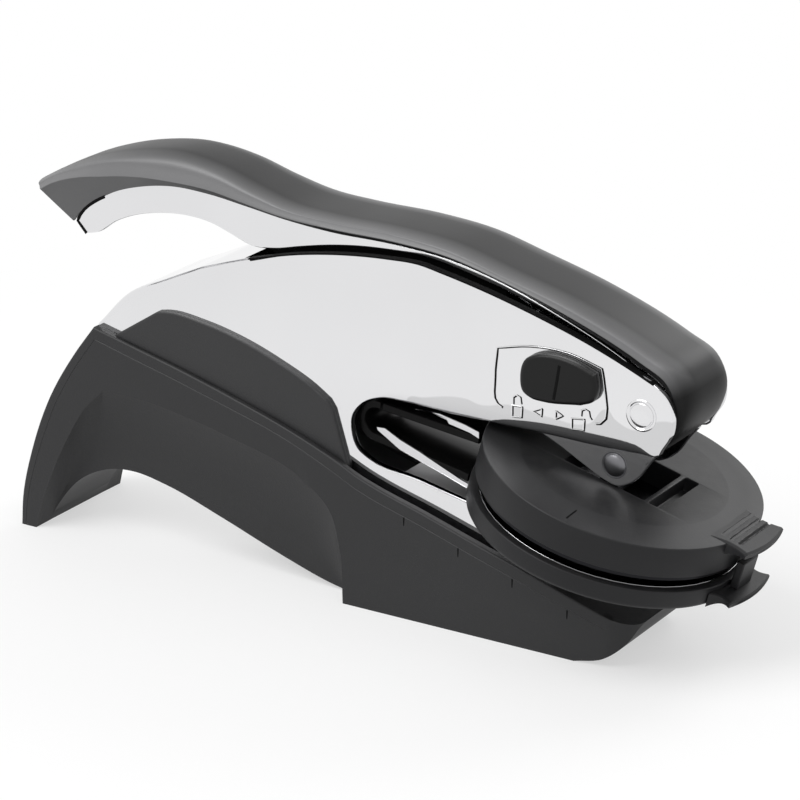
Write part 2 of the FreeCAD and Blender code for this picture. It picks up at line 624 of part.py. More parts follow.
# The lock's finger stands in this slot, which follows the finger's path as the lever
# rises. A foot at each end lets the finger slide back and hold the lever down or up.
finger = side(FINGER_SHARES)
room, gap, slide = (
    size("finger_radius") + size("catch_gap"), size("catch_gap"), size("lock_travel"))
swing = size("lever_swing")
swing_cos = Term(math.cos(math.radians(swing.value)), "cos(%s)" % swing.text)
swing_sin = Term(math.sin(math.radians(swing.value)), "sin(%s)" % swing.text)


def raised(x, z):
    """Where a fixed point stands on the lever once it is up."""
    back, rise = x - pivot[0], z - pivot[1]
    return (pivot[0] + back * swing_cos - rise * swing_sin,
            pivot[1] + back * swing_sin + rise * swing_cos)


open_at, held_at = raised(*finger), raised(finger[0] - slide, finger[1])
catch = [(finger[0] + room, finger[1] + room), (finger[0] - slide - room, finger[1] + room),
         (finger[0] - slide - room, finger[1] - room), (finger[0] - room - gap, finger[1] - room),
         (open_at[0] - room - gap, open_at[1] + room), (held_at[0] - room, held_at[1] + room),
         (held_at[0] - room, held_at[1] - room), (open_at[0] + room, open_at[1] - room)]
pad(lever, "catch_slot", "XZ_Plane", [catch], wall + over, cut=True,
    offset=lever_inner - over * half, flip=True)

# Moulded grip: stations along the lever, each a crowned section, seated on its top.
stations = []
rows = [(length, ZERO, row) for row in GRIP_SHARES]
rows += [(-size("tail_reach"), handle_root, row) for row in GRIP_TAIL_SHARES]
for number, (scale, start, row) in enumerate(rows):
    low_x, low_z = start + scale * row[0], height * row[1]
    top_x, top_z = start + scale * row[2], height * row[3]
    width = cover_half * row[4]
    low_point, top_point = V(low_x.value, 0, low_z.value), V(top_x.value, 0, top_z.value)
    up = top_point - low_point
    sink = up * 0 if number > len(rows) - 3 else V(up).normalize() * size("cover_seat").value
    w, across = width.value, V(0, 1, 0)
    floor = low_point - sink

    def corner(sign, shares):
        return low_point + across * (sign * w * shares[0]) + up * shares[1]

    corners = [floor - across * w, floor + across * w,
               corner(1, SHOULDER_SHARES), corner(1, CROWN_SHARES),
               corner(-1, CROWN_SHARES), corner(-1, SHOULDER_SHARES)]
    bends = {2: corner(1, BEND_SHARES), 3: low_point + up, 4: corner(-1, BEND_SHARES)}
    edges = []
    for at, corner_point in enumerate(corners):
        after = corners[(at + 1) % len(corners)]
        if at in bends:
            edges.append(Part.Arc(corner_point, bends[at], after).toShape())
        else:
            edges.append(Part.LineSegment(corner_point, after).toShape())
    station = doc.addObject("Part::Feature", "grip_station_%d" % number)
    station.Shape = Part.Wire(edges)
    stations.append(station)
grip_form = doc.addObject("Part::Loft", "grip_form")
grip_form.Sections = stations
grip_form.Solid = True
grip_form.Ruled = True
seat_body = doc.addObject("PartDesign::Body", "grip_seat")
pad(seat_body, "grip_seat_profile", "XZ_Plane", [lever_outline], size("base_width"))
grip_tools = [seat_body]
for name, place in cover_screws:
    bore = doc.addObject("Part::Cylinder", name + "_bore")
    bind(bore, "Radius", size("cover_screw_radius"))
    bind(bore, "Height", size("cover_screw_length") + wall)
    bore.Placement.Base = V(place[0].value, 0, (place[1] - wall * SCREW_SINK_SHARE).value)
    bind(bore, "Placement.Base.x", place[0])
    bind(bore, "Placement.Base.z", place[1] - wall * SCREW_SINK_SHARE)
    grip_tools.append(bore)
grip_space = doc.addObject("Part::MultiFuse", "grip_space")
grip_space.Shapes = grip_tools
grip = doc.addObject("Part::Cut", "handle_cover")
grip.Base = grip_form
grip.Tool = grip_space
bind(grip, "Placement.Base.x", die_axis)
parts.append(grip)

for name, place in cover_screws:
    screw = new_body(name, at=(place[0], place[1] - wall * SCREW_SINK_SHARE))
    radius, head = size("cover_screw_radius"), size("cover_screw_head")
    tip = size("cover_screw_length") + wall
    pad(screw, "head", "XY_Plane", [many_sided(head, 16)], wall, offset=ZERO)
    pad(screw, "shank", "XY_Plane", [many_sided(radius, 12)], tip - wall, offset=wall)

# Pins: the pivot through the frame's cheeks, the press pin through the lobes.
shoulder = size("head_height")
for name, place, radius, head, reach in (
        ("pivot_pin", pivot, size("pivot_radius"), size("pivot_head_radius"), frame_half),
        ("press_pin", press, size("press_radius"), size("press_head_radius"), lever_half)):
    pin = new_body(name, at=place)
    end = reach + shoulder
    turn(pin, "pin_form", [(0, -end), (head * PIN_CROWN_SHARE, -end), (head, -reach - shoulder * half),
                           (head, -reach), (radius, -reach), (radius, reach), (head, reach),
                           (head, reach + shoulder * half), (head * PIN_CROWN_SHARE, end), (0, end)],
         plane="XY_Plane")
for name, sign in (("pivot_washer_left", 1), ("pivot_washer_right", -1)):
    washer = new_body(name, at=pivot)
    offset = -frame_inner if sign > 0 else frame_inner - size("washer_thick")
    pad(washer, "washer_form", "XZ_Plane", [many_sided(size("washer_radius"), 24)],
        size("washer_thick"), offset=offset, rings=[(0, 0, size("pivot_radius"))])

# Link: from the press pin down to the saddle in the upper holder.
foot = stacked(-size("foot_back"), -size("foot_depth"))
link = new_body("press_link")
run_x, run_z = foot[0] - press[0], foot[1] - press[1]
eye, toe = size("link_eye_radius"), size("link_foot_radius")
span = math.hypot(run_x.value, run_z.value)
span_term = Term(span, "sqrt(pow(%s; 2) + pow(%s; 2))" % (run_x.text, run_z.text))
link_x, link_z = run_x / span_term, run_z / span_term
eye_side = (link_z * eye, link_x * eye)
toe_side = (link_z * toe, link_x * toe)
pad(link, "link_form", "XZ_Plane",
    [[(press[0] - eye_side[0], press[1] + eye_side[1], QUARTER),
      (press[0] - link_x * eye, press[1] - link_z * eye, QUARTER),
      (press[0] + eye_side[0], press[1] - eye_side[1]),
      (foot[0] + toe_side[0], foot[1] - toe_side[1], QUARTER),
      (foot[0] + link_x * toe, foot[1] + link_z * toe, QUARTER),
      (foot[0] - toe_side[0], foot[1] + toe_side[1])]],
    (lever_inner - size("link_side_gap")) * 2)
pad(link, "link_bore", "XZ_Plane", [], size("frame_width"), cut=True,
    rings=[(press[0], press[1], size("press_radius") + size("running_fit"))])

# Upper holder: crowned disc, grip tab, slot for the link and the strap's upper arm.
upper = new_body("upper_die_holder", tilted=True)
outer, crown = size("holder_radius"), size("crown_rise")
wide = outer + size("lower_lip")
turn(upper, "disc", [(0, plate_top), (outer, plate_top), (outer, 0),
                     (size("plateau_radius"), crown), (0, crown)])
tab_half = size("upper_tab_width") * half
tab_top = -size("tab_drop")
tab_low = tab_top - size("upper_tab_thick")
root, taper = outer - size("upper_tab_length"), tab_half * TAB_TAPER_SHARE
tab_plan = [(root, -tab_half), (upper_reach, -taper), (upper_reach, taper), (root, tab_half)]
pad(upper, "tab", "XY_Plane", [tab_plan], size("upper_tab_thick"), offset=tab_low)
pitch = size("groove_pitch")
groove_half, groove_end = size("groove_width") * half, tab_half * GROOVE_SHARE
grooves = [box(outer - crown + pitch * at - groove_half, -groove_end,
               outer - crown + pitch * at + groove_half, groove_end) for at in range(3)]
pad(upper, "tab_grooves", "XY_Plane", grooves, size("groove_depth") + crown, cut=True,
    offset=tab_top - size("groove_depth"), flip=True)
hinge = (-size("hinge_back"), -size("hinge_drop"))
knee, strap = size("hinge_radius"), size("strap_thick")
neck = -outer + crown
arm = [(neck, -size("neck_depth")), (hinge[0], hinge[1] + knee + strap),
       (hinge[0], hinge[1] + knee), (neck, -size("neck_depth") - strap)]
pad(upper, "upper_arm", "XZ_Plane", [arm], size("strap_width"))
slot_half = lever_inner - size("link_side_gap") + size("slot_side_gap")
floor_level = -size("slot_floor")
slot_plan = box(-size("slot_back"), -slot_half, size("lip_back"), slot_half)
pad(upper, "link_slot", "XY_Plane", [slot_plan], size("slot_floor") + over, cut=True,
    offset=floor_level, flip=True)
pocket_plan = box(size("lip_back") + size("lip_width"), -slot_half, size("slot_front"), slot_half)
pad(upper, "front_pocket", "XY_Plane", [pocket_plan], size("pocket_floor") + over, cut=True,
    offset=-size("pocket_floor"), flip=True)

saddle = new_body("saddle_plate", tilted=True)
saddle_top = floor_level + size("saddle_thick")
pad(saddle, "saddle_form", "XY_Plane",
    [box(-size("slot_back") + fit, -slot_half + fit, size("lip_back") - fit, slot_half - fit)],
    size("saddle_thick"), offset=floor_level)
trough = toe + size("foot_gap")
pad(saddle, "trough", "XZ_Plane", [], slot_half * 2 + over, cut=True,
    rings=[(-size("foot_back"), -size("foot_depth"), trough)])

# Chrome backing plates and the two dies between them.
for name, radius, low_level, thick in (
        ("upper_die_plate", outer - size("plate_inset"), plate_low, size("plate_thick")),
        ("upper_die", size("die_radius"), upper_die_low, size("die_thick")),
        ("lower_die", size("die_radius"), lower_plate_top, size("die_thick")),
        ("lower_die_plate", wide - size("recess_rim") - fit, lower_plate_low,
         size("plate_thick"))):
    disc = new_body(name, tilted=True)
    pad(disc, name + "_form", "XY_Plane", [many_sided(radius, 48)], thick, offset=low_level)

# Lower holder: a shallow dish, its tab and the strap's lower arm with the round knee.
lower = new_body("lower_die_holder", tilted=True)
edge = size("lower_chamfer")
dish = wide - size("recess_rim")
turn(lower, "dish", [(0, holder_low), (wide - edge, holder_low), (wide, holder_low + edge),
                     (wide, lower_rim), (dish, lower_rim), (dish, lower_plate_low),
                     (0, lower_plate_low)])
low_half, low_reach = size("lower_tab_width") * half, wide + size("lower_tab_length")
low_root, low_taper = wide - edge, low_half * TAB_TAPER_SHARE
low_plan = [(low_root, -low_half), (low_reach, -low_taper), (low_reach, low_taper),
            (low_root, low_half)]
low_tab_top = lower_rim - size("tab_drop") * 3
pad(lower, "tab", "XY_Plane", [low_plan], size("lower_tab_thick"),
    offset=low_tab_top - size("lower_tab_thick"))
low_neck = -wide + edge
arm_low = -size("neck_low")
lower_arm = [(low_neck, arm_low), (hinge[0], hinge[1] - knee),
             (hinge[0], hinge[1] - knee - strap), (low_neck, arm_low - strap)]
pad(lower, "lower_arm", "XZ_Plane", [lower_arm], size("strap_width"))
slit = size("hinge_slit")
bend_rows = [(hinge[0], hinge[1] + knee + strap, QUARTER),
             (hinge[0] - knee - strap, hinge[1], QUARTER), (hinge[0], hinge[1] - knee - strap),
             (hinge[0], hinge[1] - knee, -QUARTER), (hinge[0] - knee, hinge[1], -QUARTER),
             (hinge[0], hinge[1] + knee)]
pad(lower, "knee", "XZ_Plane", [bend_rows], size("strap_width"))
pad(lower, "knee_slit", "XZ_Plane",
    [box(hinge[0] - slit, hinge[1] + knee * half, hinge[0] + over, hinge[1] + knee + strap + over)],
    size("strap_width") + over, cut=True)

post = new_body("tab_post", tilted=True)
post_half, post_at = size("post_width") * half, wide + size("post_stand_off")
pad(post, "post_form", "XY_Plane",
    [box(post_at - size("post_length") * half, -post_half, post_at + size("post_length") * half,
         post_half)],
    tab_low - low_tab_top - size("foot_gap"), offset=low_tab_top)

# Platform under the lower holder, laid on the frame's lower arms.
anvil = new_body("anvil_plate", tilted=True)
pad(anvil, "platform", "XY_Plane",
    [box(-size("anvil_back"), -frame_half, size("anvil_front"), frame_half)],
    size("anvil_plate_thick"), offset=anvil_low)

# Lock: a button on the near cheek, its shank and the latch behind the cheek.
lock = new_body("lock_button", at=button)
cap_low = frame_half + size("button_gap")
cap_half, cap_rise = size("button_length") * half, size("button_height") * half
cap = [(cap_half * row[0], cap_rise * row[1]) + row[2:] for row in CAP_SHARES]
pad(lock, "cap", "XZ_Plane", [cap], size("button_proud") - size("button_gap"), offset=cap_low)
rib = size("rib_width") * half
pad(lock, "rib", "XZ_Plane", [box(-rib, -cap_rise * RIB_SHARE, rib, cap_rise * RIB_SHARE)],
    size("rib_height"), offset=frame_half + size("button_proud"))
latch_face = frame_inner - size("button_gap")
latch_low = latch_face - size("latch_thick")
pad(lock, "shank", "XZ_Plane", [box(-shank_half, -shank_rise, shank_half, shank_rise)],
    cap_low - latch_face, offset=latch_face)
latch = new_body("lock_latch", at=button)
latch_half, latch_rise = size("latch_length") * half, size("latch_height") * half
pad(latch, "latch_form", "XZ_Plane", [box(-latch_half, -latch_rise, latch_half, latch_rise)],
    size("latch_thick"), offset=latch_low)
pad(latch, "finger", "XZ_Plane", [], latch_low - lever_inner, offset=lever_inner,
    rings=[(finger[0] - button[0], finger[1] - button[1], size("finger_radius"))])

doc.recompute()
for item in doc.Objects:
    if "Invalid" in item.State or "Error" in item.State:
        raise ValueError("%s failed: %s" % (item.Label, item.State))
os.makedirs("parts", exist_ok=True)
for item in parts:
    if item.Shape.isNull() or not item.Shape.isValid() or not item.Shape.Solids:
        raise ValueError("%s has no valid shape" % item.Label)
    item.Shape.exportStep("parts/%s.step" % item.Label)
bounds = [item.Shape.BoundBox for item in parts]
print("pieces", len(parts), "x", min(b.XMin for b in bounds), max(b.XMax for b in bounds),
      "y", min(b.YMin for b in bounds), max(b.YMax for b in bounds),
      "z", min(b.ZMin for b in bounds), max(b.ZMax for b in bounds))
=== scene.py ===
import json
import bmesh
import bpy
import numpy as np
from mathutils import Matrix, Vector
from mathutils.geometry import tessellate_polygon

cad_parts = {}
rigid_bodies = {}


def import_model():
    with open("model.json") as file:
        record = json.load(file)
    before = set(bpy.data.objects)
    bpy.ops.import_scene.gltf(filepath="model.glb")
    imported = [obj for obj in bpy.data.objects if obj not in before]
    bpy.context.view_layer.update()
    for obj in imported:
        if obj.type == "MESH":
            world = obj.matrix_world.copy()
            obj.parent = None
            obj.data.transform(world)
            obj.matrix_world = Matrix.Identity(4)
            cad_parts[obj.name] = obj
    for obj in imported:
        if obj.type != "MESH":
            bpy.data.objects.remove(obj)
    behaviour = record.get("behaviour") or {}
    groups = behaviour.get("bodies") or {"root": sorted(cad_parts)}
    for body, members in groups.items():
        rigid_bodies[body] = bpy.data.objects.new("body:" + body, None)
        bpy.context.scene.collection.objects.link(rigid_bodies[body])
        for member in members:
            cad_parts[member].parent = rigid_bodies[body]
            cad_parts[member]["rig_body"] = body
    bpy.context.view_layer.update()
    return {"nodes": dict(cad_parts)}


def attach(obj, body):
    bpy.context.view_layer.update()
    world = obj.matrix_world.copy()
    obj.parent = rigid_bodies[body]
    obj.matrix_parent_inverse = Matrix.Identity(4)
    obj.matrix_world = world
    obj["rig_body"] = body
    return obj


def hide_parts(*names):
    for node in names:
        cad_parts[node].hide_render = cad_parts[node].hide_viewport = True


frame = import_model()

# ---------------------------------------------------------------------------
# Moulded foot. One shell of black glass-filled plastic with a fine spark-eroded
# grain. Its sides lean in a little, the back leg is scooped out into a grip arch,
# and the pressed frame sits in the slot along its top.

DIE_AXIS = 50.838         # millimetres from the origin forward to the axis of the dies
FOOT_HALF, FOOT_LEAN = 14.5, 0.0342
SLOT_HALF, REAR_SLOT_HALF, ARCH_HALF = 12.25, 11.05, 9.2
SLOT_FRONT, SLOT_REAR = -8.0, -111.0
NOSE_ROUND = 6.0
LEG = [(-112.6, 45.4), (-117.3, 39.2), (-123.5, 29.2), (-128.4, 16.8), (-131.0, 5.7), (-131.3, 0)]
RIM = [(9.8, 8.4), (2.4, 10.7), (-4.3, 12.6), (-14.8, 15.8), (-25.1, 18.9), (-36.1, 22.3),
       (-49.5, 26.3), (-58.4, 30.2), (-69.8, 34.1), (-81.4, 37.6), (-96.2, 41.5), (-106.4, 43.9),
       (-112.6, 45.4)]
SEAT = [(-111.0, 40.0), (-108, 38.6), (-53, 22.0), (-21.7, 13.7), (-8, 9.0)]
CREASE = [(-53.1, 0), (-53.9, 10.8), (-56.6, 18.7), (-62.4, 23.4), (-80.4, 29.0), (-92, 31.3),
          (-102, 32.6), (-110.3, 32.6), (-114.6, 28.3), (-119.6, 20.2), (-123.6, 11.8),
          (-126.4, 4.0), (-127.5, 0)]
ARCH = [(-54, 0), (-60, 1.2), (-70, 4.2), (-85, 9.4), (-98.5, 13.6), (-106, 14.8),
        (-112, 14.2), (-118, 11.6), (-120.7, 9.6), (-123, 7.2), (-125, 4.6), (-126.6, 2.2),
        (-127.6, 0)]
RIM_ABOVE_ARCH = [-47.0, -50.0, -55.5, -64.0, -79.4, -92.0, -102.0]
NOSE_TOP = [9.8, 8.4, 4.6, -2.0, -9.0, -16.0, -24.0, -36.0]
NOSE_LOW = [(9.8, 8.4), (8.2, 5.2), (4.2, 1.8), (-2.0, 0), (-9.0, 0), (-17.0, 0), (-27.0, 0),
            (-41.0, 0)]


def flowing(points, steps, corners=(), closed=False):
    """A smooth line through the points, with the same number of steps to each. Every run
    is a cubic whose end slopes are the mean of the two neighbouring runs' directions,
    weighted to the shorter run; at a corner each run keeps its own direction. A closed
    line comes back to its first point, which isn't repeated."""
    p = np.array(points, float)
    if closed:
        p = np.vstack([p, p[:1]])
    run = np.diff(p, axis=0)
    far = np.maximum(np.linalg.norm(run, axis=1, keepdims=True), 1e-6)
    way = run / far
    slope = np.vstack([way[:1], (way[:-1] * far[1:] + way[1:] * far[:-1])
                       / (far[:-1] + far[1:]), way[-1:]])
    if closed:
        slope[0] = slope[-1] = (way[-1] * far[0] + way[0] * far[-1]) / (far[0] + far[-1])
    leave, arrive = slope[:-1].copy(), slope[1:].copy()
    for corner in corners:
        leave[corner], arrive[corner - 1] = way[corner], way[corner - 1]
    t = np.linspace(0, 1, steps, endpoint=False)[None, :, None]
    a, b, far = p[:-1, None], p[1:, None], far[:, None]
    line = ((2 * t**3 - 3 * t**2 + 1) * a + (3 * t**2 - 2 * t**3) * b
            + (t**3 - 2 * t**2 + t) * far * leave[:, None] + (t**3 - t**2) * far * arrive[:, None])
    line = line.reshape(-1, p.shape[1])
    return line if closed else np.vstack([line, p[-1:]])


def skin(name, points, across=True, along=False, ends=True):
    """A mesh from a grid of points in millimetres from the axis of the dies: neighbours
    become quads, closed across the rows or along them, with a face on each open end."""
    rows, columns = points.shape[:2]
    index = np.arange(rows * columns).reshape(rows, columns)
    a = index if along else index[:-1]
    b = np.roll(index, -1, 0) if along else index[1:]
    if across:
        quads = np.stack([a, np.roll(a, -1, 1), np.roll(b, -1, 1), b], -1)
    else:
        quads = np.stack([a[:, :-1], a[:, 1:], b[:, 1:], b[:, :-1]], -1)
    faces = quads.reshape(-1, 4).tolist()
    if ends and across and not along:
        faces += [index[0][::-1].tolist(), index[-1].tolist()]
    mesh = bpy.data.meshes.new(name)
    mesh.from_pydata(((points + (DIE_AXIS, 0, 0)) * 0.001).reshape(-1, 3).tolist(), [], faces)
    return mesh


def joined(name, meshes):
    """One mesh made of several."""
    made = bmesh.new()
    for mesh in meshes:
        made.from_mesh(mesh)
        bpy.data.meshes.remove(mesh)
    whole = bpy.data.meshes.new(name)
    made.to_mesh(whole)
    made.free()
    return whole


def finish_piece(name, mesh, body, material, replaces=(), sharp=32, merge=1e-6):
    """Merges doubles, turns the faces outward, shades smooth up to an angle, gives the piece
    its body and its material, and hides the CAD nodes that it stands for."""
    made = bmesh.new()
    made.from_mesh(mesh)
    bmesh.ops.remove_doubles(made, verts=made.verts, dist=merge)
    bmesh.ops.dissolve_degenerate(made, dist=merge, edges=made.edges)
    bmesh.ops.recalc_face_normals(made, faces=made.faces)
    made.to_mesh(mesh)
    made.free()
    mesh.shade_smooth()
    mesh.set_sharp_from_angle(angle=np.radians(sharp))
    mesh.materials.clear()
    mesh.materials.append(material)
    piece = bpy.data.objects.new(name, mesh)
    bpy.context.scene.collection.objects.link(piece)
    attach(piece, body)
    if replaces:
        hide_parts(*replaces)
    return piece


def put(tree, kind, feeds=None, **settings):
    """Adds a shader node; each named input gets a value or the socket that feeds it."""
    node = tree.nodes.new("ShaderNode" + kind)
    for key, value in settings.items():
        setattr(node, key, value)
    for key, value in (feeds or {}).items():
        if isinstance(value, bpy.types.NodeSocket):
            tree.links.new(value, node.inputs[key])
        else:
            node.inputs[key].default_value = value
    return node


def ramp(tree, value, low, high, **settings):
    """Adds a node that takes a value between low and high to zero to one."""
    return put(tree, "MapRange", {"Value": value, "From Min": low, "From Max": high}, **settings)


def group(name, inputs, outputs):
    """An empty shader node group with float inputs and the outputs it will feed."""
    tree = bpy.data.node_groups.new(name, "ShaderNodeTree")
    for key, value in inputs.items():
        socket = tree.interface.new_socket(key, in_out="INPUT", socket_type="NodeSocketFloat")
        socket.default_value = value
    for key in outputs:
        tree.interface.new_socket(key, in_out="OUTPUT", socket_type="NodeSocketFloat")
    return tree, tree.nodes.new("NodeGroupInput"), tree.nodes.new("NodeGroupOutput")


# Moulded grain: small rounded pits of the eroded mould, broken up by a slow cloud.
moulded_grain, given, gives = group(
    "moulded_grain", {"Grain": 2600.0, "Cloud": 60.0}, ("Height", "Tone"))
where = put(moulded_grain, "TexCoord")
pits = put(moulded_grain, "TexVoronoi", {"Vector": where.outputs["Object"],
                                         "Scale": given.outputs["Grain"]}, feature="SMOOTH_F1")
fuzz = put(moulded_grain, "TexNoise", {"Vector": where.outputs["Object"],
                                       "Scale": given.outputs["Grain"], "Detail": 2.0})
cloud = put(moulded_grain, "TexNoise", {"Vector": where.outputs["Object"],
                                        "Scale": given.outputs["Cloud"], "Detail": 4.0})
both = put(moulded_grain, "Math", {0: pits.outputs["Distance"], 1: fuzz.outputs["Fac"]},
           operation="ADD")
moulded_grain.links.new(both.outputs[0], gives.inputs["Height"])
moulded_grain.links.new(cloud.outputs["Fac"], gives.inputs["Tone"])

# Edge wear: where the rounded normal leaves the flat one, an edge is rubbed.
edge_wear, given, gives = group("edge_wear", {"Reach": 0.0006, "Break": 420.0}, ("Mask",))
flat = put(edge_wear, "NewGeometry")
rounded = put(edge_wear, "Bevel", {"Radius": given.outputs["Reach"]}, samples=4)
turned = put(edge_wear, "VectorMath", {0: flat.outputs["Normal"], 1: rounded.outputs["Normal"]},
             operation="DOT_PRODUCT")
where = put(edge_wear, "TexCoord")
patch = put(edge_wear, "TexNoise", {"Vector": where.outputs["Object"],
                                    "Scale": given.outputs["Break"], "Detail": 3.0})
rubbed = ramp(edge_wear, turned.outputs["Value"], 0.985, 0.86)
broken = ramp(edge_wear, patch.outputs["Fac"], 0.35, 0.62)
worn = put(edge_wear, "Math", {0: rubbed.outputs[0], 1: broken.outputs[0]}, operation="MULTIPLY")
edge_wear.links.new(worn.outputs[0], gives.inputs["Mask"])

# Dust: a thin film on what faces up, thicker in slow patches.
dust_film, given, gives = group("dust_film", {"Amount": 0.1}, ("Mask",))
facing = put(dust_film, "SeparateXYZ", {"Vector": put(dust_film, "NewGeometry").outputs["Normal"]})
up = ramp(dust_film, facing.outputs["Z"], 0.35, 1.0)
where = put(dust_film, "TexCoord")
patch = put(dust_film, "TexNoise", {"Vector": where.outputs["Object"], "Scale": 140.0,
                                    "Detail": 6.0, "Roughness": 0.7})
thin = ramp(dust_film, patch.outputs["Fac"], 0.42, 0.75)
film = put(dust_film, "Math", {0: up.outputs[0], 1: thin.outputs[0]}, operation="MULTIPLY")
film = put(dust_film, "Math", {0: film.outputs[0], 1: given.outputs["Amount"]},
           operation="MULTIPLY")
dust_film.links.new(film.outputs[0], gives.inputs["Mask"])


def moulded(name, colour, roughness, grain, depth, wear=0.2, dust=0.04, gloss=0.5):
    """A moulded plastic: dark body colour that varies a little, grain in the surface,
    edges rubbed lighter and smoother, and a trace of dust on what faces up."""
    material = bpy.data.materials.new(name)
    material.use_nodes = True
    tree = material.node_tree
    shader = tree.nodes["Principled BSDF"]
    skin_grain = put(tree, "Group", node_tree=moulded_grain)
    skin_grain.inputs["Grain"].default_value = grain
    edges = put(tree, "Group", node_tree=edge_wear)
    film = put(tree, "Group", node_tree=dust_film)
    film.inputs["Amount"].default_value = dust
    body = put(tree, "Mix", {"Factor": skin_grain.outputs["Tone"],
                             "A": (*[c * 0.86 for c in colour], 1),
                             "B": (*[c * 1.14 for c in colour], 1)}, data_type="RGBA")
    amount = put(tree, "Math", {0: edges.outputs["Mask"], 1: wear}, operation="MULTIPLY")
    rubbed = put(tree, "Mix", {"Factor": amount.outputs[0], "A": body.outputs["Result"],
                               "B": (*[0.10 + c for c in colour], 1)}, data_type="RGBA")
    dusty = put(tree, "Mix", {"Factor": film.outputs["Mask"], "A": rubbed.outputs["Result"],
                              "B": (0.42, 0.41, 0.39, 1)}, data_type="RGBA")
    rough = put(tree, "MapRange", {"Value": skin_grain.outputs["Tone"], "To Min": roughness - 0.05,
                                   "To Max": roughness + 0.05})
    bump = put(tree, "Bump", {"Height": skin_grain.outputs["Height"], "Strength": 0.6,
                              "Distance": depth})
    tree.links.new(dusty.outputs["Result"], shader.inputs["Base Color"])
    tree.links.new(rough.outputs[0], shader.inputs["Roughness"])
    tree.links.new(bump.outputs[0], shader.inputs["Normal"])
    shader.inputs["Specular IOR Level"].default_value = gloss
    return material


foot_plastic = moulded("foot_plastic", (0.019, 0.019, 0.020), 0.5, 2600, 0.00003, wear=0.06,
                       gloss=0.34)


def rim_level(x):
    """Height of the foot's rim over a place along it, read from its smooth line."""
    line = flowing(RIM, 8)[::-1]
    return np.interp(x, line[:, 0], line[:, 1])


top = np.array([(x, rim_level(x)) for x in NOSE_TOP + RIM_ABOVE_ARCH] + LEG)
crease = np.array(NOSE_LOW + CREASE)
arch = np.array(NOSE_LOW + ARCH)
turn_up = len(NOSE_TOP + RIM_ABOVE_ARCH)
fork = len(NOSE_LOW)
top, crease, arch = (flowing(top, 6, (turn_up,)), flowing(crease, 6, (3, fork, fork + 7)),
                     flowing(arch, 6, (3, fork)))
slot_ends = []
for edge in (SLOT_FRONT, SLOT_REAR):
    # The slot's end walls: the station there is doubled, rim level on one, seat on the other.
    at = int(np.argmax(top[:, 0] < edge))
    share = (edge - top[at - 1, 0]) / (top[at, 0] - top[at - 1, 0])
    top, crease, arch = [np.insert(line, [at, at], line[at - 1] + (line[at] - line[at - 1]) * share,
                                   axis=0) for line in (top, crease, arch)]
    slot_ends.append(at + 1)
slot_start, slot_stop = slot_ends
seat_x, seat_z = np.array(SEAT).T
floor = top.copy()
floor[slot_start:slot_stop, 1] = np.interp(top[slot_start:slot_stop, 0], seat_x, seat_z)


def lean(z):
    """Half width of the leaning side at a height."""
    return FOOT_HALF - FOOT_LEAN * z


def between(a, b, share):
    """The value at a share of the way from a to b."""
    return a + (b - a) * share


# Under the rim runs a flat band that stands a little proud of the side below it.
# Each row is the drop below the rim and how far it lies inside the leaning side.
BAND = [(0.0, 0.4), (0.08, 0.22), (0.3, 0.08), (0.6, 0.05), (2.3, 0.02), (2.45, 0.09), (2.6, 0.0)]
BAND_DROP = BAND[-1][0]
down = crease - top
space = np.linalg.norm(down, axis=1, keepdims=True)
down /= np.maximum(space, 1e-6)
slot_half = np.interp(top[:, 0], (-107.5, -106.5), (REAR_SLOT_HALF, SLOT_HALF))
ring = [(floor, np.zeros(len(top))), (floor, slot_half), (top, slot_half)]
for drop, inset in BAND:
    place = top + down * np.minimum(drop, 0.3 * space * drop / BAND_DROP)
    ring.append((place, lean(place[:, 1]) - inset))
for share in (0.5, 1.0):
    place = between(top, crease, share)
    ring.append((place, lean(place[:, 1])))
side = lean(crease[:, 1])
for share in (0.03, 0.1, 0.2, 0.32, 0.46, 0.62, 0.8, 1.0):
    ring.append((between(crease, arch, share), ARCH_HALF + (side - ARCH_HALF) * (1 - share)**2))
ring.append((arch, np.zeros(len(top))))
half = np.stack([np.column_stack([place[:, 0], width, place[:, 1]]) for place, width in ring], 1)
inset = np.clip(half[..., 0] - (NOSE_LOW[0][0] - NOSE_ROUND), 0, NOSE_ROUND)
limit = lean(half[..., 2]) - (NOSE_ROUND - np.sqrt(NOSE_ROUND**2 - inset**2))
half[..., 1] = np.minimum(half[..., 1], limit)
mirror = half[:, -2:0:-1] * (1, -1, 1)
finish_piece("moulded_foot", skin("moulded_foot", np.concatenate([half, mirror], 1)),
             "stand", foot_plastic, ["base_shell"], sharp=22)

def coat(node, material):
    """Gives a CAD piece its material."""
    frame["nodes"][node].data.materials.clear()
    frame["nodes"][node].data.materials.append(material)


# Four short scale marks, pressed into the near side under the rim.
# The marks are black beads of painted shade standing for their pressed grooves; mark_shadow paints
# the same shade into the index line, the thumb groove and the engraving.
mark_shadow = moulded("mark_shadow", (0.004, 0.004, 0.004), 0.8, 2600, 0.00002, wear=0, dust=0,
                      gloss=0.1)


def bead(name, path, face, width, proud):
    """A thin half-round line on a face: at every point of the path (x, z) a low arch of
    five points stands across it, square to the path, from the face outward."""
    path = np.array(path, float)
    way = np.gradient(path, axis=0)
    way /= np.linalg.norm(way, axis=1, keepdims=True)
    across = np.column_stack([-way[:, 1], way[:, 0]])
    angle = np.linspace(0, np.pi, 5)
    place = path[:, None] + across[:, None] * (np.cos(angle) * width / 2)[None, :, None]
    lift = face + np.sign(face) * np.sin(angle) * proud
    points = np.stack([place[..., 0], np.broadcast_to(lift, place.shape[:2]), place[..., 1]], -1)
    low = points[:, ::4].copy()
    low[..., 1] -= np.sign(face) * 0.05
    return skin(name, np.concatenate([points, low[:, ::-1]], 1))


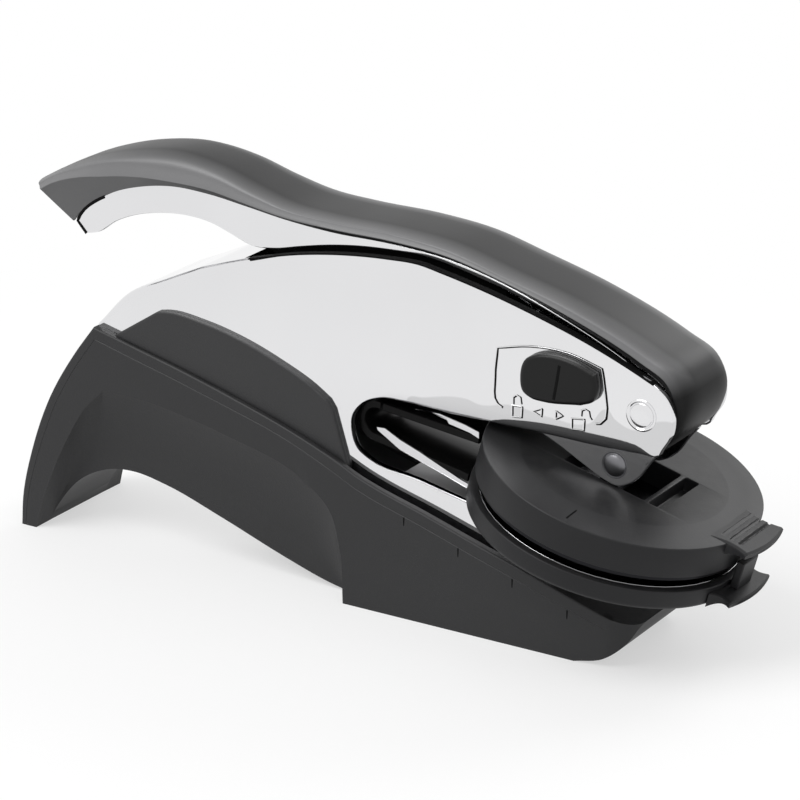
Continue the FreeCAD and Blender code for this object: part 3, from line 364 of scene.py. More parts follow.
marks = []
for x in (-39.6, -27.5, -15.6, -3.7):
    z = rim_level(x) - 2.7
    marks.append(bead("mark", [(x, z), (x, z - 1.0), (x, z - 2.0)], -lean(z - 1.0), 0.3, 0.03))
finish_piece("foot_marks", joined("foot_marks", marks), "stand", mark_shadow)

# Rubber pad let into the underside of the nose, so that the press doesn't slide.
foot_rubber = moulded("foot_rubber", (0.024, 0.024, 0.024), 0.75, 1500, 0.00004, wear=0.0)
coat("foot_pad", foot_rubber)

# ---------------------------------------------------------------------------
# Pressed frame: one strip of chromed steel folded over the back into two cheeks with
# the throat for the paper between their arms. Its edges are tumbled round, and the
# arm's lower edge is rolled in deeper.
FRAME_HALF, FRAME_INNER = 11.0, 9.5
FRAME_TOP = [(-113.0, 45.6), (-105.4, 53.2), (-96.3, 57.6), (-88.0, 61.4), (-76.4, 65.2),
             (-64.7, 68.1), (-52.0, 70.0), (-45.0, 70.5), (-38.2, 70.6), (-33.0, 69.7),
             (-24.8, 68.0), (-12.2, 64.7), (-2.0, 61.5), (6.6, 58.2), (11.4, 56.1), (14.2, 53.6),
             (15.5, 50.2), (15.2, 47.0), (13.4, 43.8)]
ARM_LOW = [(12.8, 42.6), (8.0, 41.9), (0.4, 41.7), (-10.6, 41.9), (-23.0, 41.9), (-34.0, 42.0),
           (-42.0, 42.3), (-46.5, 42.2), (-50.6, 40.7), (-52.9, 37.6), (-52.9, 34.2),
           (-51.8, 31.4), (-49.6, 29.9), (-38.0, 27.6), (-26.2, 25.0), (-8.0, 20.1)]
ROLL_DEPTH, ROLL_HEIGHT = 1.25, 2.9     # the arm's rolled lower edge
EDGE_ROLL, FOLD_ROLL, FOLD_FRONT = 0.12, 1.2, -76.4


def outline(runs):
    """One closed line from runs of (points, steps, corners), end to end."""
    lines = [flowing(points, steps, corners) for points, steps, corners in runs]
    whole = np.vstack(lines)
    keep = np.linalg.norm(whole - np.roll(whole, 1, 0), axis=1) > 1e-3
    return whole[keep]


def inward(line):
    """Unit steps into a closed line, square to the mean of its two sides at each point,
    stretched so that both sides move in by one."""
    ahead = np.roll(line, -1, 0) - line
    ahead /= np.linalg.norm(ahead, axis=1, keepdims=True)
    behind = np.roll(ahead, 1, 0)
    mean = ahead + behind
    mean /= np.maximum(np.linalg.norm(mean, axis=1, keepdims=True), 1e-6)
    stretch = 1 / np.maximum((mean * ahead).sum(1, keepdims=True), 0.6)
    area = (line[:, 0] * np.roll(line[:, 1], -1) - np.roll(line[:, 0], -1) * line[:, 1]).sum()
    return np.column_stack([-mean[:, 1], mean[:, 0]]) * stretch * np.sign(area)


def plate(name, loops, face, back, rolls, depth, soften=0.2, arc=6):
    """A flat plate cut to closed lines (x, z), the first its outside and the rest holes.
    At an angle a of the edge's quarter round, the line lies roll * (1 - sin a) inside the
    cut and depth * (1 - cos a) below the face; the back's edge is a smaller quarter."""
    points, faces, caps = [], [], []
    sign = np.sign(back - face)
    for number, (line, roll) in enumerate(zip(loops, rolls)):
        way = inward(line) * (1 if number == 0 else -1)
        roll = np.broadcast_to(np.asarray(roll, float), (len(line),))[:, None]
        rows = [(line + way * (roll + 0.2), face)]
        for angle in np.linspace(0, np.pi / 2, arc):
            rows.append((line + way * roll * (1 - np.sin(angle)),
                         face + sign * depth * (1 - np.cos(angle))))
        for angle in np.linspace(0, np.pi / 2, 4):
            rows.append((line + way * soften * (1 - np.cos(angle)),
                         back - sign * soften * (1 - np.sin(angle))))
        rows.append((line + way * (soften + 0.15), back))
        start = sum(map(len, points))
        count, wide = len(rows), len(line)
        for place, level in rows:
            points.append(np.column_stack([place[:, 0], np.full(wide, level), place[:, 1]]))
        index = start + np.arange(count * wide).reshape(count, wide)
        faces += np.stack([index[:-1], np.roll(index[:-1], -1, 1), np.roll(index[1:], -1, 1),
                           index[1:]], -1).reshape(-1, 4).tolist()
        caps.append((rows[0][0], index[0], rows[-1][0], index[-1]))
    for at in (0, 2):
        flat_lines = [[Vector((x, z, 0)) for x, z in cap[at]] for cap in caps]
        number = np.concatenate([cap[at + 1] for cap in caps])
        faces += [[int(number[i]) for i in three] for three in tessellate_polygon(flat_lines)]
    mesh = bpy.data.meshes.new(name)
    points = np.vstack(points) + (DIE_AXIS, 0, 0)
    mesh.from_pydata((points * 0.001).tolist(), [], faces)
    return mesh


def circle(x, z, radius, count=48):
    """A round hole or disc as a closed line."""
    angle = np.linspace(0, 2 * np.pi, count, endpoint=False)
    return np.column_stack([x + radius * np.cos(angle), z + radius * np.sin(angle)])


def block(x0, x1, z0, z1, round_off=0.4):
    """A rectangle with its four corners rounded, as a closed line."""
    turn = np.radians(np.arange(0, 91, 30))
    corners = []
    for quarter, (x, z) in enumerate(((x1, z1), (x0, z1), (x0, z0), (x1, z0))):
        centre = np.array([x - round_off if x == x1 else x + round_off,
                           z - round_off if z == z1 else z + round_off])
        angle = turn + quarter * np.pi / 2
        corners.append(centre + round_off * np.column_stack([np.cos(angle), np.sin(angle)]))
    return np.vstack(corners)


def polished(name, colour, roughness, ripple=0.0, scratch=0.02, cloud=None):
    """A polished metal: its mirror varies slightly, with hairline scratches along X and
    the faint ripple that pressing leaves in a chromed sheet. A cloud is a greyer zone
    below a wavering line, which stands for a reflection that this studio doesn't give:
    (line as x and z in metres, tone)."""
    material = bpy.data.materials.new(name)
    material.use_nodes = True
    tree = material.node_tree
    shader = tree.nodes["Principled BSDF"]
    shader.inputs["Metallic"].default_value = 1.0
    where = put(tree, "TexCoord")
    drawn = put(tree, "Mapping", {"Vector": where.outputs["Object"], "Scale": (60, 900, 2600)})
    hair = put(tree, "TexNoise", {"Vector": drawn.outputs[0], "Scale": 1.0, "Detail": 3.0})
    wave = put(tree, "TexNoise", {"Vector": where.outputs["Object"], "Scale": 70.0, "Detail": 1.0})
    tone = put(tree, "Mix", {"Factor": wave.outputs["Fac"], "A": (*[c * 0.96 for c in colour], 1),
                             "B": (*colour, 1)}, data_type="RGBA")
    tone = tone.outputs["Result"]
    if cloud:
        line, dull = cloud
        place = put(tree, "SeparateXYZ", {"Vector": where.outputs["Object"]})
        low, high = line[0][0], line[-1][0]
        along = ramp(tree, place.outputs["X"], low, high)
        level = put(tree, "FloatCurve", {"Value": along.outputs[0]})
        curve = level.mapping.curves[0]
        curve.points[0].location = (0, line[0][1] * 10)
        curve.points[1].location = (1, line[-1][1] * 10)
        for x, z in line[1:-1]:
            curve.points.new((x - low) / (high - low), z * 10)
        level.mapping.update()
        depth = put(tree, "Math", {0: place.outputs["Z"], 1: 10.0}, operation="MULTIPLY")
        under = put(tree, "Math", {0: level.outputs[0], 1: depth.outputs[0]},
                    operation="SUBTRACT")
        shade = ramp(tree, under.outputs[0], -0.002, 0.002)
        on_arm = put(tree, "Math", {0: place.outputs["Z"], 1: 0.037}, operation="GREATER_THAN")
        shade = put(tree, "Math", {0: shade.outputs[0], 1: on_arm.outputs[0]},
                    operation="MULTIPLY")
        tone = put(tree, "Mix", {"Factor": shade.outputs[0], "A": tone,
                                 "B": (*[c * dull for c in colour], 1)},
                   data_type="RGBA").outputs["Result"]
    rough = put(tree, "MapRange", {"Value": hair.outputs["Fac"], "From Min": 0.3, "From Max": 0.75,
                                   "To Min": roughness, "To Max": roughness + scratch})
    fine = put(tree, "Bump", {"Height": hair.outputs["Fac"], "Strength": 0.15,
                              "Distance": 0.000002})
    bump = put(tree, "Bump", {"Height": wave.outputs["Fac"], "Strength": 1.0, "Distance": ripple,
                              "Normal": fine.outputs[0]})
    tree.links.new(tone, shader.inputs["Base Color"])
    tree.links.new(rough.outputs[0], shader.inputs["Roughness"])
    tree.links.new(bump.outputs[0], shader.inputs["Normal"])
    return material


# Painted reflection on the frame's arm: below this line the chrome is coloured greyer, standing for
# a reflection.
ARM_PAINTED_REFLECTION = [(-60, 36.0), (-41.4, 36.0), (-40.9, 43.2), (-36.8, 44.5), (-28, 46.0), (-24.5, 45.4),
             (-18.2, 46.6), (-10, 45.8), (-1.6, 46.2), (2.0, 49.6), (3.9, 47.9), (8.4, 46.8),
             (12, 49.1), (17, 49.6)]
frame_chrome = polished("frame_chrome", (0.77, 0.77, 0.78), 0.06, ripple=0.00002, cloud=(
    [((x + DIE_AXIS) * 0.001, z * 0.001) for x, z in ARM_PAINTED_REFLECTION], 0.8))

cut = outline([(FRAME_TOP, 5, (3,)), (FRAME_TOP[-1:] + ARM_LOW, 5, (15,)),
               ([(-8.0, 20.1), (-8.0, 9.0)], 4, ()), (SEAT[::-1], 6, ()),
               ([SEAT[0], (-113.0, 45.6)], 3, ())])
on_arm = np.clip((cut[:, 0] + 50) / 14, 0, 1) * (cut[:, 1] < 44.5) * (cut[:, 1] > 40)
on_arm *= np.clip((12.0 - cut[:, 0]) / 5, 0, 1)
roll = EDGE_ROLL + (ROLL_HEIGHT - EDGE_ROLL) * on_arm
folded = (cut[:, 0] < -74) & (cut[:, 1] > rim_level(cut[:, 0]) + 1)
roll = np.where(folded, FOLD_ROLL, roll)
for _ in range(3):
    roll = (np.roll(roll, 1) + roll * 2 + np.roll(roll, -1)) / 4
shank_hole = block(-14.26, -3.86, 51.95, 55.75, 0.3)
sheet = [plate("cheek", loops, sign * FRAME_HALF, sign * FRAME_INNER, rolls, ROLL_DEPTH)
         for sign, loops, rolls in ((-1, [cut, shank_hole], [roll, 0.15]), (1, [cut], [roll]))]

# The fold over the back joins the cheeks: outer line, inner line and two end edges.
back_line = flowing(FRAME_TOP[:5], 6, (3,))
back_line = back_line[back_line[:, 0] < FOLD_FRONT]
normal = np.gradient(back_line, axis=0)
normal = np.column_stack([-normal[:, 1], normal[:, 0]])
normal /= np.linalg.norm(normal, axis=1, keepdims=True)
wide = FRAME_HALF - ROLL_DEPTH
fold = []
for depth, half_width in ((0, -wide), (0, 0), (0, wide), (0.0, wide + 0.02), (1.5, wide),
                          (1.5, 0), (1.5, -wide), (0.0, -wide - 0.02)):
    place = back_line - normal * depth
    fold.append(np.column_stack([place[:, 0], np.full(len(place), half_width), place[:, 1]]))
sheet.append(skin("fold", np.stack(fold, 1)))
finish_piece("pressed_frame", joined("pressed_frame", sheet), "stand",
             frame_chrome, ["frame"], sharp=40)

# Side panels: moulded inlays with a chamfered edge that cover the frame's lower corner.
# The field is left bare.
panel_plastic = moulded("panel_plastic", (0.019, 0.019, 0.020), 0.45, 2600, 0.00003,
                        gloss=0.4)
PANEL = [(-107.9, 44.4), (-97.6, 51.0), (-95.4, 51.4), (-87.3, 50.8), (-77.9, 48.8),
         (-68.7, 45.6), (-61.8, 42.5), (-58.0, 40.1), (-56.8, 38.4), (-53.4, 27.4)]
PANEL_HALF = 12.1
upper_line = flowing(PANEL, 6, (1, 7, 8))
lower_x = np.linspace(-53.5, -107.9, 24)
inlay = np.vstack([upper_line, np.column_stack([lower_x, rim_level(lower_x) - 1.2])])
for sign, side_name in ((-1, "right"), (1, "left")):
    finish_piece("panel_" + side_name,
                 plate("panel", [inlay], sign * PANEL_HALF, sign * FRAME_HALF, [0.45], 0.35,
                       soften=0.05, arc=4),
                 "stand", panel_plastic, ["side_panel_" + side_name], sharp=28)


def softened(node, name, width, material, sharp=30, segments=3):
    """A copy of a CAD node with its doubles merged, its flat faces joined, and every
    edge sharper than the angle rounded by a bevel of the given width."""
    source = frame["nodes"][node]
    mesh = source.data.copy()
    mesh.name = name
    made = bmesh.new()
    made.from_mesh(mesh)
    bmesh.ops.remove_doubles(made, verts=made.verts, dist=2e-6)
    bmesh.ops.dissolve_limit(made, angle_limit=np.radians(0.4), verts=made.verts,
                             edges=made.edges)
    made.to_mesh(mesh)
    made.free()
    for attribute in [a.name for a in mesh.attributes if a.name == "custom_normal"]:
        mesh.attributes.remove(mesh.attributes[attribute])
    mesh.shade_smooth()
    mesh.set_sharp_from_angle(angle=np.radians(sharp))
    mesh.materials.clear()
    mesh.materials.append(material)
    piece = bpy.data.objects.new(name, mesh)
    bpy.context.scene.collection.objects.link(piece)
    bevel = piece.modifiers.new("tumbled_edges", "BEVEL")
    bevel.width, bevel.segments = width, segments
    bevel.limit_method, bevel.angle_limit = "ANGLE", np.radians(sharp)
    bevel.harden_normals = True
    bevel.miter_outer = "MITER_ARC"
    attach(piece, source["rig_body"])
    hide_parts(node)
    return piece


# Spacer blocks and screws inside the foot hold the frame down.
block_aluminium = polished("block_aluminium", (0.55, 0.55, 0.56), 0.35, ripple=0.00002)
screw_steel = polished("screw_steel", (0.12, 0.12, 0.13), 0.35)
for node in ("block_front", "block_rear"):
    softened(node, node + "_cast", 0.0003, block_aluminium, segments=2)
for node in ("base_screw_front", "base_screw_rear", "cover_screw_front", "cover_screw_rear"):
    coat(node, screw_steel)

# ---------------------------------------------------------------------------
# Lever: a chromed channel. Its cheeks are shallow under the grip and end in front in
# two lobes that go down between the frame's cheeks to the press pin.
LEVER_HALF, LEVER_INNER = 8.3, 7.1
LEVER_TOP = [(10.4, 44.4), (12.9, 46.9), (13.3, 51.2), (11.4, 54.5), (6.6, 57.4), (-8.1, 64.2),
             (-22, 69.1), (-33, 71.6), (-45, 72.6), (-59, 72.9), (-70, 73.8), (-78, 74.9),
             (-87, 76.0), (-95.5, 76.2), (-104, 74.8), (-111, 72.2), (-115.7, 69.2), (-118.6, 66.3),
             (-119.1, 65.4)]
LEVER_LOW = [(-119.1, 65.4), (-116.6, 63.0), (-114.2, 63.6), (-109.6, 66.6), (-104.9, 68.6),
             (-99.4, 69.9), (-93.5, 70.5), (-86.7, 69.9), (-82.3, 68.5), (-77.4, 66.9),
             (-72.0, 67.1), (-66.2, 68.4), (-59.4, 69.8), (-52.7, 70.7), (-46.0, 71.1),
             (-39.5, 71.2), (-32.9, 70.3), (-26.5, 68.8), (-20.1, 67.2), (-15.5, 65.2),
             (-19.0, 57.0), (-21.0, 49.0), (-17.5, 44.0), (-8.5, 39.1), (-4.0, 36.7), (0.3, 34.6),
             (3.1, 33.9), (5.3, 34.7), (7.5, 36.4), (9.9, 39.8), (11.8, 42.2), (10.4, 44.4)]
PIVOT, PRESS = (9.101, 49.801), (2.399, 38.001)
lever_chrome = polished("lever_chrome", (0.77, 0.77, 0.78), 0.06, ripple=0.00002)
cut = outline([(LEVER_TOP, 6, ()), (LEVER_LOW, 6, (1, 20, 30))])


def raised(x, z, swing=22.0):
    """Where a fixed point stands on the lever once it is up."""
    turn = np.radians(swing)
    back, rise = x - PIVOT[0], z - PIVOT[1]
    return (PIVOT[0] + back * np.cos(turn) - rise * np.sin(turn),
            PIVOT[1] + back * np.sin(turn) + rise * np.cos(turn))


# The lock's finger stands in this slot, which follows the finger's path as the lever
# goes up, with a foot at each end that holds the lever down or up.
FINGER, ROOM, GAP, SLIDE = (-5.997, 52.997), 1.4, 0.5, 4.0
(open_x, open_z), (held_x, held_z) = raised(*FINGER), raised(FINGER[0] - SLIDE, FINGER[1])
catch = np.array([
    (FINGER[0] + ROOM, FINGER[1] + ROOM), (FINGER[0] - SLIDE - ROOM, FINGER[1] + ROOM),
    (FINGER[0] - SLIDE - ROOM, FINGER[1] - ROOM), (FINGER[0] - ROOM - GAP, FINGER[1] - ROOM),
    (open_x - ROOM - GAP, open_z + ROOM), (held_x - ROOM, held_z + ROOM),
    (held_x - ROOM, held_z - ROOM), (open_x + ROOM, open_z - ROOM)])
sheet = []
for sign in (-1, 1):
    loops, rolls = [cut, circle(*PIVOT, 2.6), circle(*PRESS, 1.85)], [0.2, 0.1, 0.1]
    if sign < 0:
        loops.append(catch)
        rolls.append(0.05)
    sheet.append(plate("cheek", loops, sign * LEVER_HALF, sign * LEVER_INNER, rolls, 0.5,
                       soften=0.3))
roof = flowing(LEVER_TOP[4:18], 6)
normal = np.gradient(roof, axis=0)
normal = np.column_stack([normal[:, 1], -normal[:, 0]])
normal /= np.linalg.norm(normal, axis=1, keepdims=True)
strip = []
for depth, half_width in ((0.02, -LEVER_INNER), (0.02, LEVER_INNER), (1.2, LEVER_INNER),
                          (1.2, -LEVER_INNER)):
    place = roof - normal * depth * np.sign(normal[:, 1:2] + 1e-9)
    strip.append(np.column_stack([place[:, 0], np.full(len(place), half_width), place[:, 1]]))
sheet.append(skin("roof", np.stack(strip, 1)))
finish_piece("pressed_lever", joined("pressed_lever", sheet), "lever",
             lever_chrome, ["lever_channel"], sharp=40)

# A black strip on each side inside the channel: painted shade, a dark sheet that stands for the
# shadowed gap between the lever's edge and the frame's. A guess: the inside isn't seen.
painted_shade_sheet = moulded("painted_shade_black", (0.003, 0.003, 0.003), 0.6, 1800, 0.00001, wear=0, dust=0,
                    gloss=0.06)
rail = outline([(LEVER_TOP[6:12], 4, ()), ([LEVER_TOP[11], (-76, 68.5), (-66, 63.0), (-46, 58.0),
                                            (-30, 56.5), (-20, 60.5), LEVER_TOP[6]], 4, (1, 5))])
rails = [plate("rail", [rail - (0, 0.8)], sign * (LEVER_INNER - 0.05),
               sign * (LEVER_INNER - 0.75), [0.15], 0.15, arc=3) for sign in (-1, 1)]
finish_piece("lever_gap_shade", joined("lever_gap_shade", rails), "lever",
             painted_shade_sheet, sharp=40)

# Edging: a thin black strip of painted shade over the frame's two upper edges. A guess: the
# photograph shows these edges dark, and a bare chromed edge would catch the light.
edge_line = flowing(FRAME_TOP[4:15], 6)
edging = []
for sign in (-1, 1):
    rows = []
    for wide, lift in ((FRAME_HALF + 0.02, -0.22), (FRAME_HALF + 0.03, -0.1), (FRAME_HALF, 0.1),
                       (FRAME_INNER - 0.05, 0.1), (FRAME_INNER - 0.05, -0.3),
                       (FRAME_INNER + 0.3, -0.3)):
        rows.append(np.column_stack([edge_line[:, 0], np.full(len(edge_line), sign * wide),
                                     edge_line[:, 1] + lift]))
    edging.append(skin("edging", np.stack(rows, 1)))
finish_piece("frame_edge_shade", joined("frame_edge_shade", edging), "stand", painted_shade_sheet,
             sharp=40)

# Grip: a moulded cover with a satin finish, crowned across, with a creased side and a
# faceted tail. Its lips stand over the channel's edges.
GRIP_HALF, LIP, TUCK = 9.0, 0.55, 0.3
GRIP_LOW = [(10.4, 42.4), (13.4, 46.9), (13.9, 51.2), (12.0, 54.9), (7, 57.8), (-8.1, 64.2),
            (-22, 68.8), (-33, 71.3), (-45, 72.3), (-59, 72.6), (-70, 73.5), (-78, 74.6),
            (-87, 75.7), (-95.5, 75.9), (-104, 74.5), (-111, 72.1), (-116, 69.2),
            (-119.0, 66.3), (-120.2, 65.0)]
GRIP_TOP = [(11.6, 42.0), (16.2, 46.9), (17.6, 52.4), (15.2, 57.8), (9.4, 60.9), (-7.0, 67.3),
            (-21.2, 71.0), (-32.4, 73.9), (-45, 75.0), (-59, 75.2), (-69.2, 76.0), (-77, 78.1),
            (-86, 80.9), (-96, 82.3), (-105.5, 81.2), (-113.5, 79.2), (-120, 76.9),
            (-125.5, 74.2), (-129.7, 71.9)]
GRIP_WIDTH = [.93, .97, 1, 1, 1, 1, 1, 1, 1, 1, 1, 1, 1, 1, 1, 1, 1, .99, .97]
LOW_CREASE = [.2, .25, .3, .34, .36, .36, .36, .36, .36, .34, .24, .2, .2, .18, .33, .49, .67,
              .79, .80]
HIGH_CREASE = [.6, .6, .6, .6, .6, .6, .6, .62, .72, .72, .66, .6, .6, .53, .67, .80, .83, .90,
               .88]
UNDER = [.9, .9, .9, .9, .9, .9, .85, .8, .75, .6, .5, .5, .55, .63, .63, .63, .63, .63, .63]
SHOULDER = [.3, .3, .3, .3, .3, .3, .3, .4, .5, .5, .5, .6, .7, .8, .8, .8, .8, .8, .8]
steps = 6
low, high = flowing(GRIP_LOW, steps), flowing(GRIP_TOP, steps)
wide, crease_low, crease_high, under, shoulder = (
    flowing(np.column_stack([np.arange(float(len(row))), row]), steps)[:, 1]
    for row in (GRIP_WIDTH, LOW_CREASE, HIGH_CREASE, UNDER, SHOULDER))
wide = wide * GRIP_HALF
tall = np.linalg.norm(high - low, axis=1)
up_way = (high - low) / tall[:, None]
ring = []


def on_grip(width, level):
    """Adds a line of the section: half width and height above the grip's lower edge."""
    place = low + up_way * level[:, None]
    ring.append(np.column_stack([place[:, 0], width, place[:, 1]]))


none, tight = np.zeros(len(low)), 0.1
on_grip(none, none + TUCK)
on_grip(wide - LIP - under, none + TUCK)
on_grip(wide - LIP - under, none)
foot_width = wide - under
on_grip(foot_width - 0.1, none)
on_grip(foot_width, none + 0.12)
for share in (0.35, 0.7):
    on_grip(between(foot_width, wide, share), np.maximum(tall * crease_low * share, 0.13))
on_grip(between(foot_width, wide, 0.96), tall * crease_low - tight)
on_grip(wide, tall * crease_low)
shoulder = wide - shoulder
on_grip(between(wide, shoulder, 0.03), tall * crease_low + tight)
for share in (0.35, 0.7):
    on_grip(between(wide, shoulder, share), tall * between(crease_low, crease_high, share))
on_grip(shoulder, tall * crease_high)
for angle in np.radians([4, 12, 22, 33, 45, 58, 70, 80, 90]):
    on_grip(shoulder * np.cos(angle)**0.62,
            tall * (crease_high + (1 - crease_high) * np.sin(angle)))
half = np.stack(ring, 1)
mirror = half[:, -2:0:-1] * (1, -1, 1)
grip_plastic = moulded("grip_plastic", (0.15, 0.15, 0.153), 0.4, 3200, 0.000008, wear=0.02)
cover = skin("moulded_grip", np.concatenate([half, mirror], 1))

# Its undercut, nose and crown are toned darker, to match the shading in the photograph.
# This tone is painted shade, a darker colour with less sheen, and is kept on the mesh as "shade".
order = np.concatenate([np.arange(len(ring)), np.arange(len(ring) - 2, 0, -1)])
station = np.linspace(0, len(GRIP_LOW) - 1, len(low))[:, None]
lip = np.where(order < 8, 0.91, np.interp(order, (15, 19), (0.0, 0.8)))[None, :]
lip = lip * np.where(order[None, :] < 8, np.interp(station, (11, 14), (1, 0.45)), 1)
nose = 0.94 * np.clip((3.6 - station) / 1.2, 0, 1)
cover.attributes.new("shade", "FLOAT", "POINT").data.foreach_set(
    "value", np.maximum(lip, nose).ravel())
tree = grip_plastic.node_tree
shader = tree.nodes["Principled BSDF"]
zone = put(tree, "Attribute", attribute_name="shade")
deeper = put(tree, "Mix", {"Factor": zone.outputs["Fac"],
                           "A": shader.inputs["Base Color"].links[0].from_socket,
                           "B": (0.002, 0.002, 0.002, 1)}, data_type="RGBA")
tree.links.new(deeper.outputs["Result"], shader.inputs["Base Color"])
duller = put(tree, "MapRange", {"Value": zone.outputs["Fac"], "To Min": 0.5, "To Max": 0.08})
tree.links.new(duller.outputs[0], shader.inputs["Specular IOR Level"])
finish_piece("moulded_grip", cover, "lever", grip_plastic, ["handle_cover"],
             sharp=24)

# The gap between the grip's lip and the end of the channel's tail, in shadow: a black bead of
# painted shadow.
TAIL_GAP = [(-116.9, 63.0), (-119.0, 65.3), (-118.1, 66.9), (-113.7, 70.5), (-112.2, 71.3)]
finish_piece("tail_gap_shadow", bead("tail_gap_shadow", flowing(TAIL_GAP, 4, (1,)), -LEVER_HALF, 0.7, 0.12),
             "lever", painted_shade_sheet)

# Pins: the pivot through the frame and the press pin through the lobes. The pivot's
# heads are flat caps in a turned ring, the press pin's are domed.
pin_steel = polished("pin_steel", (0.77, 0.77, 0.78), 0.1, ripple=0.00001)
press_steel = polished("press_steel", (0.2, 0.2, 0.21), 0.35, ripple=0.00001)
FLAT_HEAD = [(0, 0.42), (1.2, 0.41), (1.9, 0.36), (2.15, 0.27), (2.25, 0.12), (2.33, 0.05),
             (2.45, 0.05), (2.55, 0.14), (2.72, 0.24), (2.92, 0.22), (3.05, 0.12), (3.1, -0.1)]
DOMED_HEAD = [(0, 0.75), (0.6, 0.72), (1.2, 0.6), (1.7, 0.42), (2.05, 0.22), (2.2, 0.05),
              (2.3, 0.0), (2.45, 0.04), (2.6, 0.02), (2.7, -0.1)]


def body_of(node):
    """The moving body that carries a CAD node."""
    return frame["nodes"][node]["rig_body"]


def turned(name, centre, profile, count=64):
    """A closed turned form about a cross axis: each (radius, y) of the profile goes round
    the centre (x, z)."""
    angle = np.linspace(0, 2 * np.pi, count, endpoint=False)
    radius, level = np.array(profile, float).T
    points = np.stack(np.broadcast_arrays(
        centre[0] + radius[:, None] * np.cos(angle), level[:, None],
        centre[1] + radius[:, None] * np.sin(angle)), -1)
    return skin(name, points)


for name, centre, head, face, shank, steel in (
        ("pivot_pin", PIVOT, FLAT_HEAD, FRAME_HALF, 2.45, pin_steel),
        ("press_pin", PRESS, DOMED_HEAD, LEVER_HALF, 1.75, press_steel)):
    far_end = [(max(radius, 0.001), face + rise) for radius, rise in head]
    near_end = [(radius, -level) for radius, level in far_end]
    profile = near_end + [(shank, -face + 0.1), (shank, face - 0.1)] + far_end[::-1]
    finish_piece(name + "_riveted", turned(name, centre, profile), body_of(name),
                 steel, [name], sharp=35, merge=2e-6)
for node in ("pivot_washer_left", "pivot_washer_right"):
    coat(node, pin_steel)

# Link, saddle and platform: plain steel parts that carry the push of the lever.
inner_steel = polished("inner_steel", (0.10, 0.10, 0.105), 0.25, ripple=0.00001)
for node in ("press_link", "saddle_plate", "anvil_plate", "lock_latch"):
    softened(node, node + "_steel", 0.0002, inner_steel, segments=2)

# ---------------------------------------------------------------------------
# Die holders: two round housings of satin black plastic, each with a flared grip tab in
# front. The upper one has a flat middle inside a bevelled ring, and a well for the
# press link. The stack leans forward on the frame.
TILT, RIM_CENTRE = np.radians(15.2), (0.0, 33.67)
UPPER_WALL = [(20.0, 0.6), (20.3, 0.56), (23.5, 0.3), (26.6, 0.06), (26.85, 0.0), (26.97, -0.12),
              (27.0, -0.35), (27.0, -5.9), (26.95, -6.1), (26.8, -6.2)]
LOWER_WALL = [(25.6, -9.9), (25.6, -9.15), (25.7, -9.02), (25.9, -9.0), (27.0, -9.0),
              (27.2, -9.06), (27.3, -9.25), (27.3, -12.1), (27.2, -12.5), (26.9, -12.9),
              (26.4, -13.15), (26.0, -13.2)]
holder_plastic = moulded("holder_plastic", (0.012, 0.012, 0.013), 0.45, 3000, 0.000015,
                         wear=0.06, gloss=0.24)


def leaning(points):
    """Points of the stack (along, across, up from the rim of the upper holder) turned
    forward by the stack's tilt and set on its centre."""
    along, across, up = np.moveaxis(np.asarray(points, float), -1, 0)
    return np.stack([RIM_CENTRE[0] + along * np.cos(TILT) + up * np.sin(TILT), across,
                     RIM_CENTRE[1] - along * np.sin(TILT) + up * np.cos(TILT)], -1)


def housing(name, wall, wells=(), count=192):
    """A closed disc turned about the stack's axis from rows of (radius, height). In its
    top stand wells: a closed line (along, across) and the height of its floor."""
    angle = np.linspace(0, 2 * np.pi, count, endpoint=False)
    round_line = np.column_stack([np.cos(angle), np.sin(angle)])
    top = wall[0][1]
    rings = [[(round_line * radius, level) for radius, level in wall]]
    for line, floor_level in wells:
        out = inward(line)
        rings.append([(line - out * 0.22, top), (line - out * 0.08, top - 0.04),
                      (line, top - 0.2), (line, floor_level + 0.3),
                      (line + out * 0.1, floor_level + 0.08), (line + out * 0.3, floor_level)])
    points, faces, start, heads = [], [], 0, []
    for rows in rings:
        wide = len(rows[0][0])
        for line, level in rows:
            points.append(np.column_stack([line, np.full(wide, level)]))
        index = start + np.arange(len(rows) * wide).reshape(len(rows), wide)
        faces += np.stack([index[:-1], np.roll(index[:-1], -1, 1), np.roll(index[1:], -1, 1),
                           index[1:]], -1).reshape(-1, 4).tolist()
        faces.append(index[-1].tolist())
        heads.append((rows[0][0], index[0]))
        start += index.size
    number = np.concatenate([index for _, index in heads])
    faces += [[int(number[i]) for i in three] for three in tessellate_polygon(
        [[Vector((a, b, 0)) for a, b in line] for line, _ in heads])]
    mesh = bpy.data.meshes.new(name)
    mesh.from_pydata(((leaning(np.vstack(points)) + (DIE_AXIS, 0, 0)) * 0.001).tolist(), [], faces)
    return mesh


def grip_tab(name, root, tip, bow, half_width, top, thick, thin, grooves=()):
    """A flared tab from the root to a tip bowed outward. At a share s of its length it is
    half_width * (1 - 0.12 sin(pi s)) wide and thin + (thick - thin) (1 - s)^2 thick; each
    groove (along, from, to across) is a rounded dip in its top."""
    s = np.linspace(0, 1, 61)[:, None]
    v = np.linspace(-1, 1, 81)[None, :]
    across = v * half_width * (1 - 0.12 * np.sin(np.pi * s))
    along = root + s * (tip - root + bow * (1 - v**2))
    side_edge, tip_edge = np.maximum(np.abs(v) - 0.93, 0) / 0.07, np.maximum(s - 0.95, 0) / 0.05
    upper = top - 0.25 * side_edge - 0.3 * tip_edge
    upper = np.broadcast_to(upper, along.shape).copy()
    for place, first, last in grooves:
        dip = np.clip(1 - np.abs(along - place) / 0.42, 0, 1)
        inside = np.clip((across - first) / 0.5, 0, 1) * np.clip((last - across) / 0.5, 0, 1)
        upper -= 0.5 * np.sin(dip * np.pi / 2) * inside
    lower = np.broadcast_to(top - thin - (thick - thin) * (1 - s)**2, along.shape)
    loop = np.concatenate([np.stack([along, across, upper], -1),
                           np.stack([along, across, lower], -1)[:, ::-1]], 1)
    return skin(name, leaning(loop))


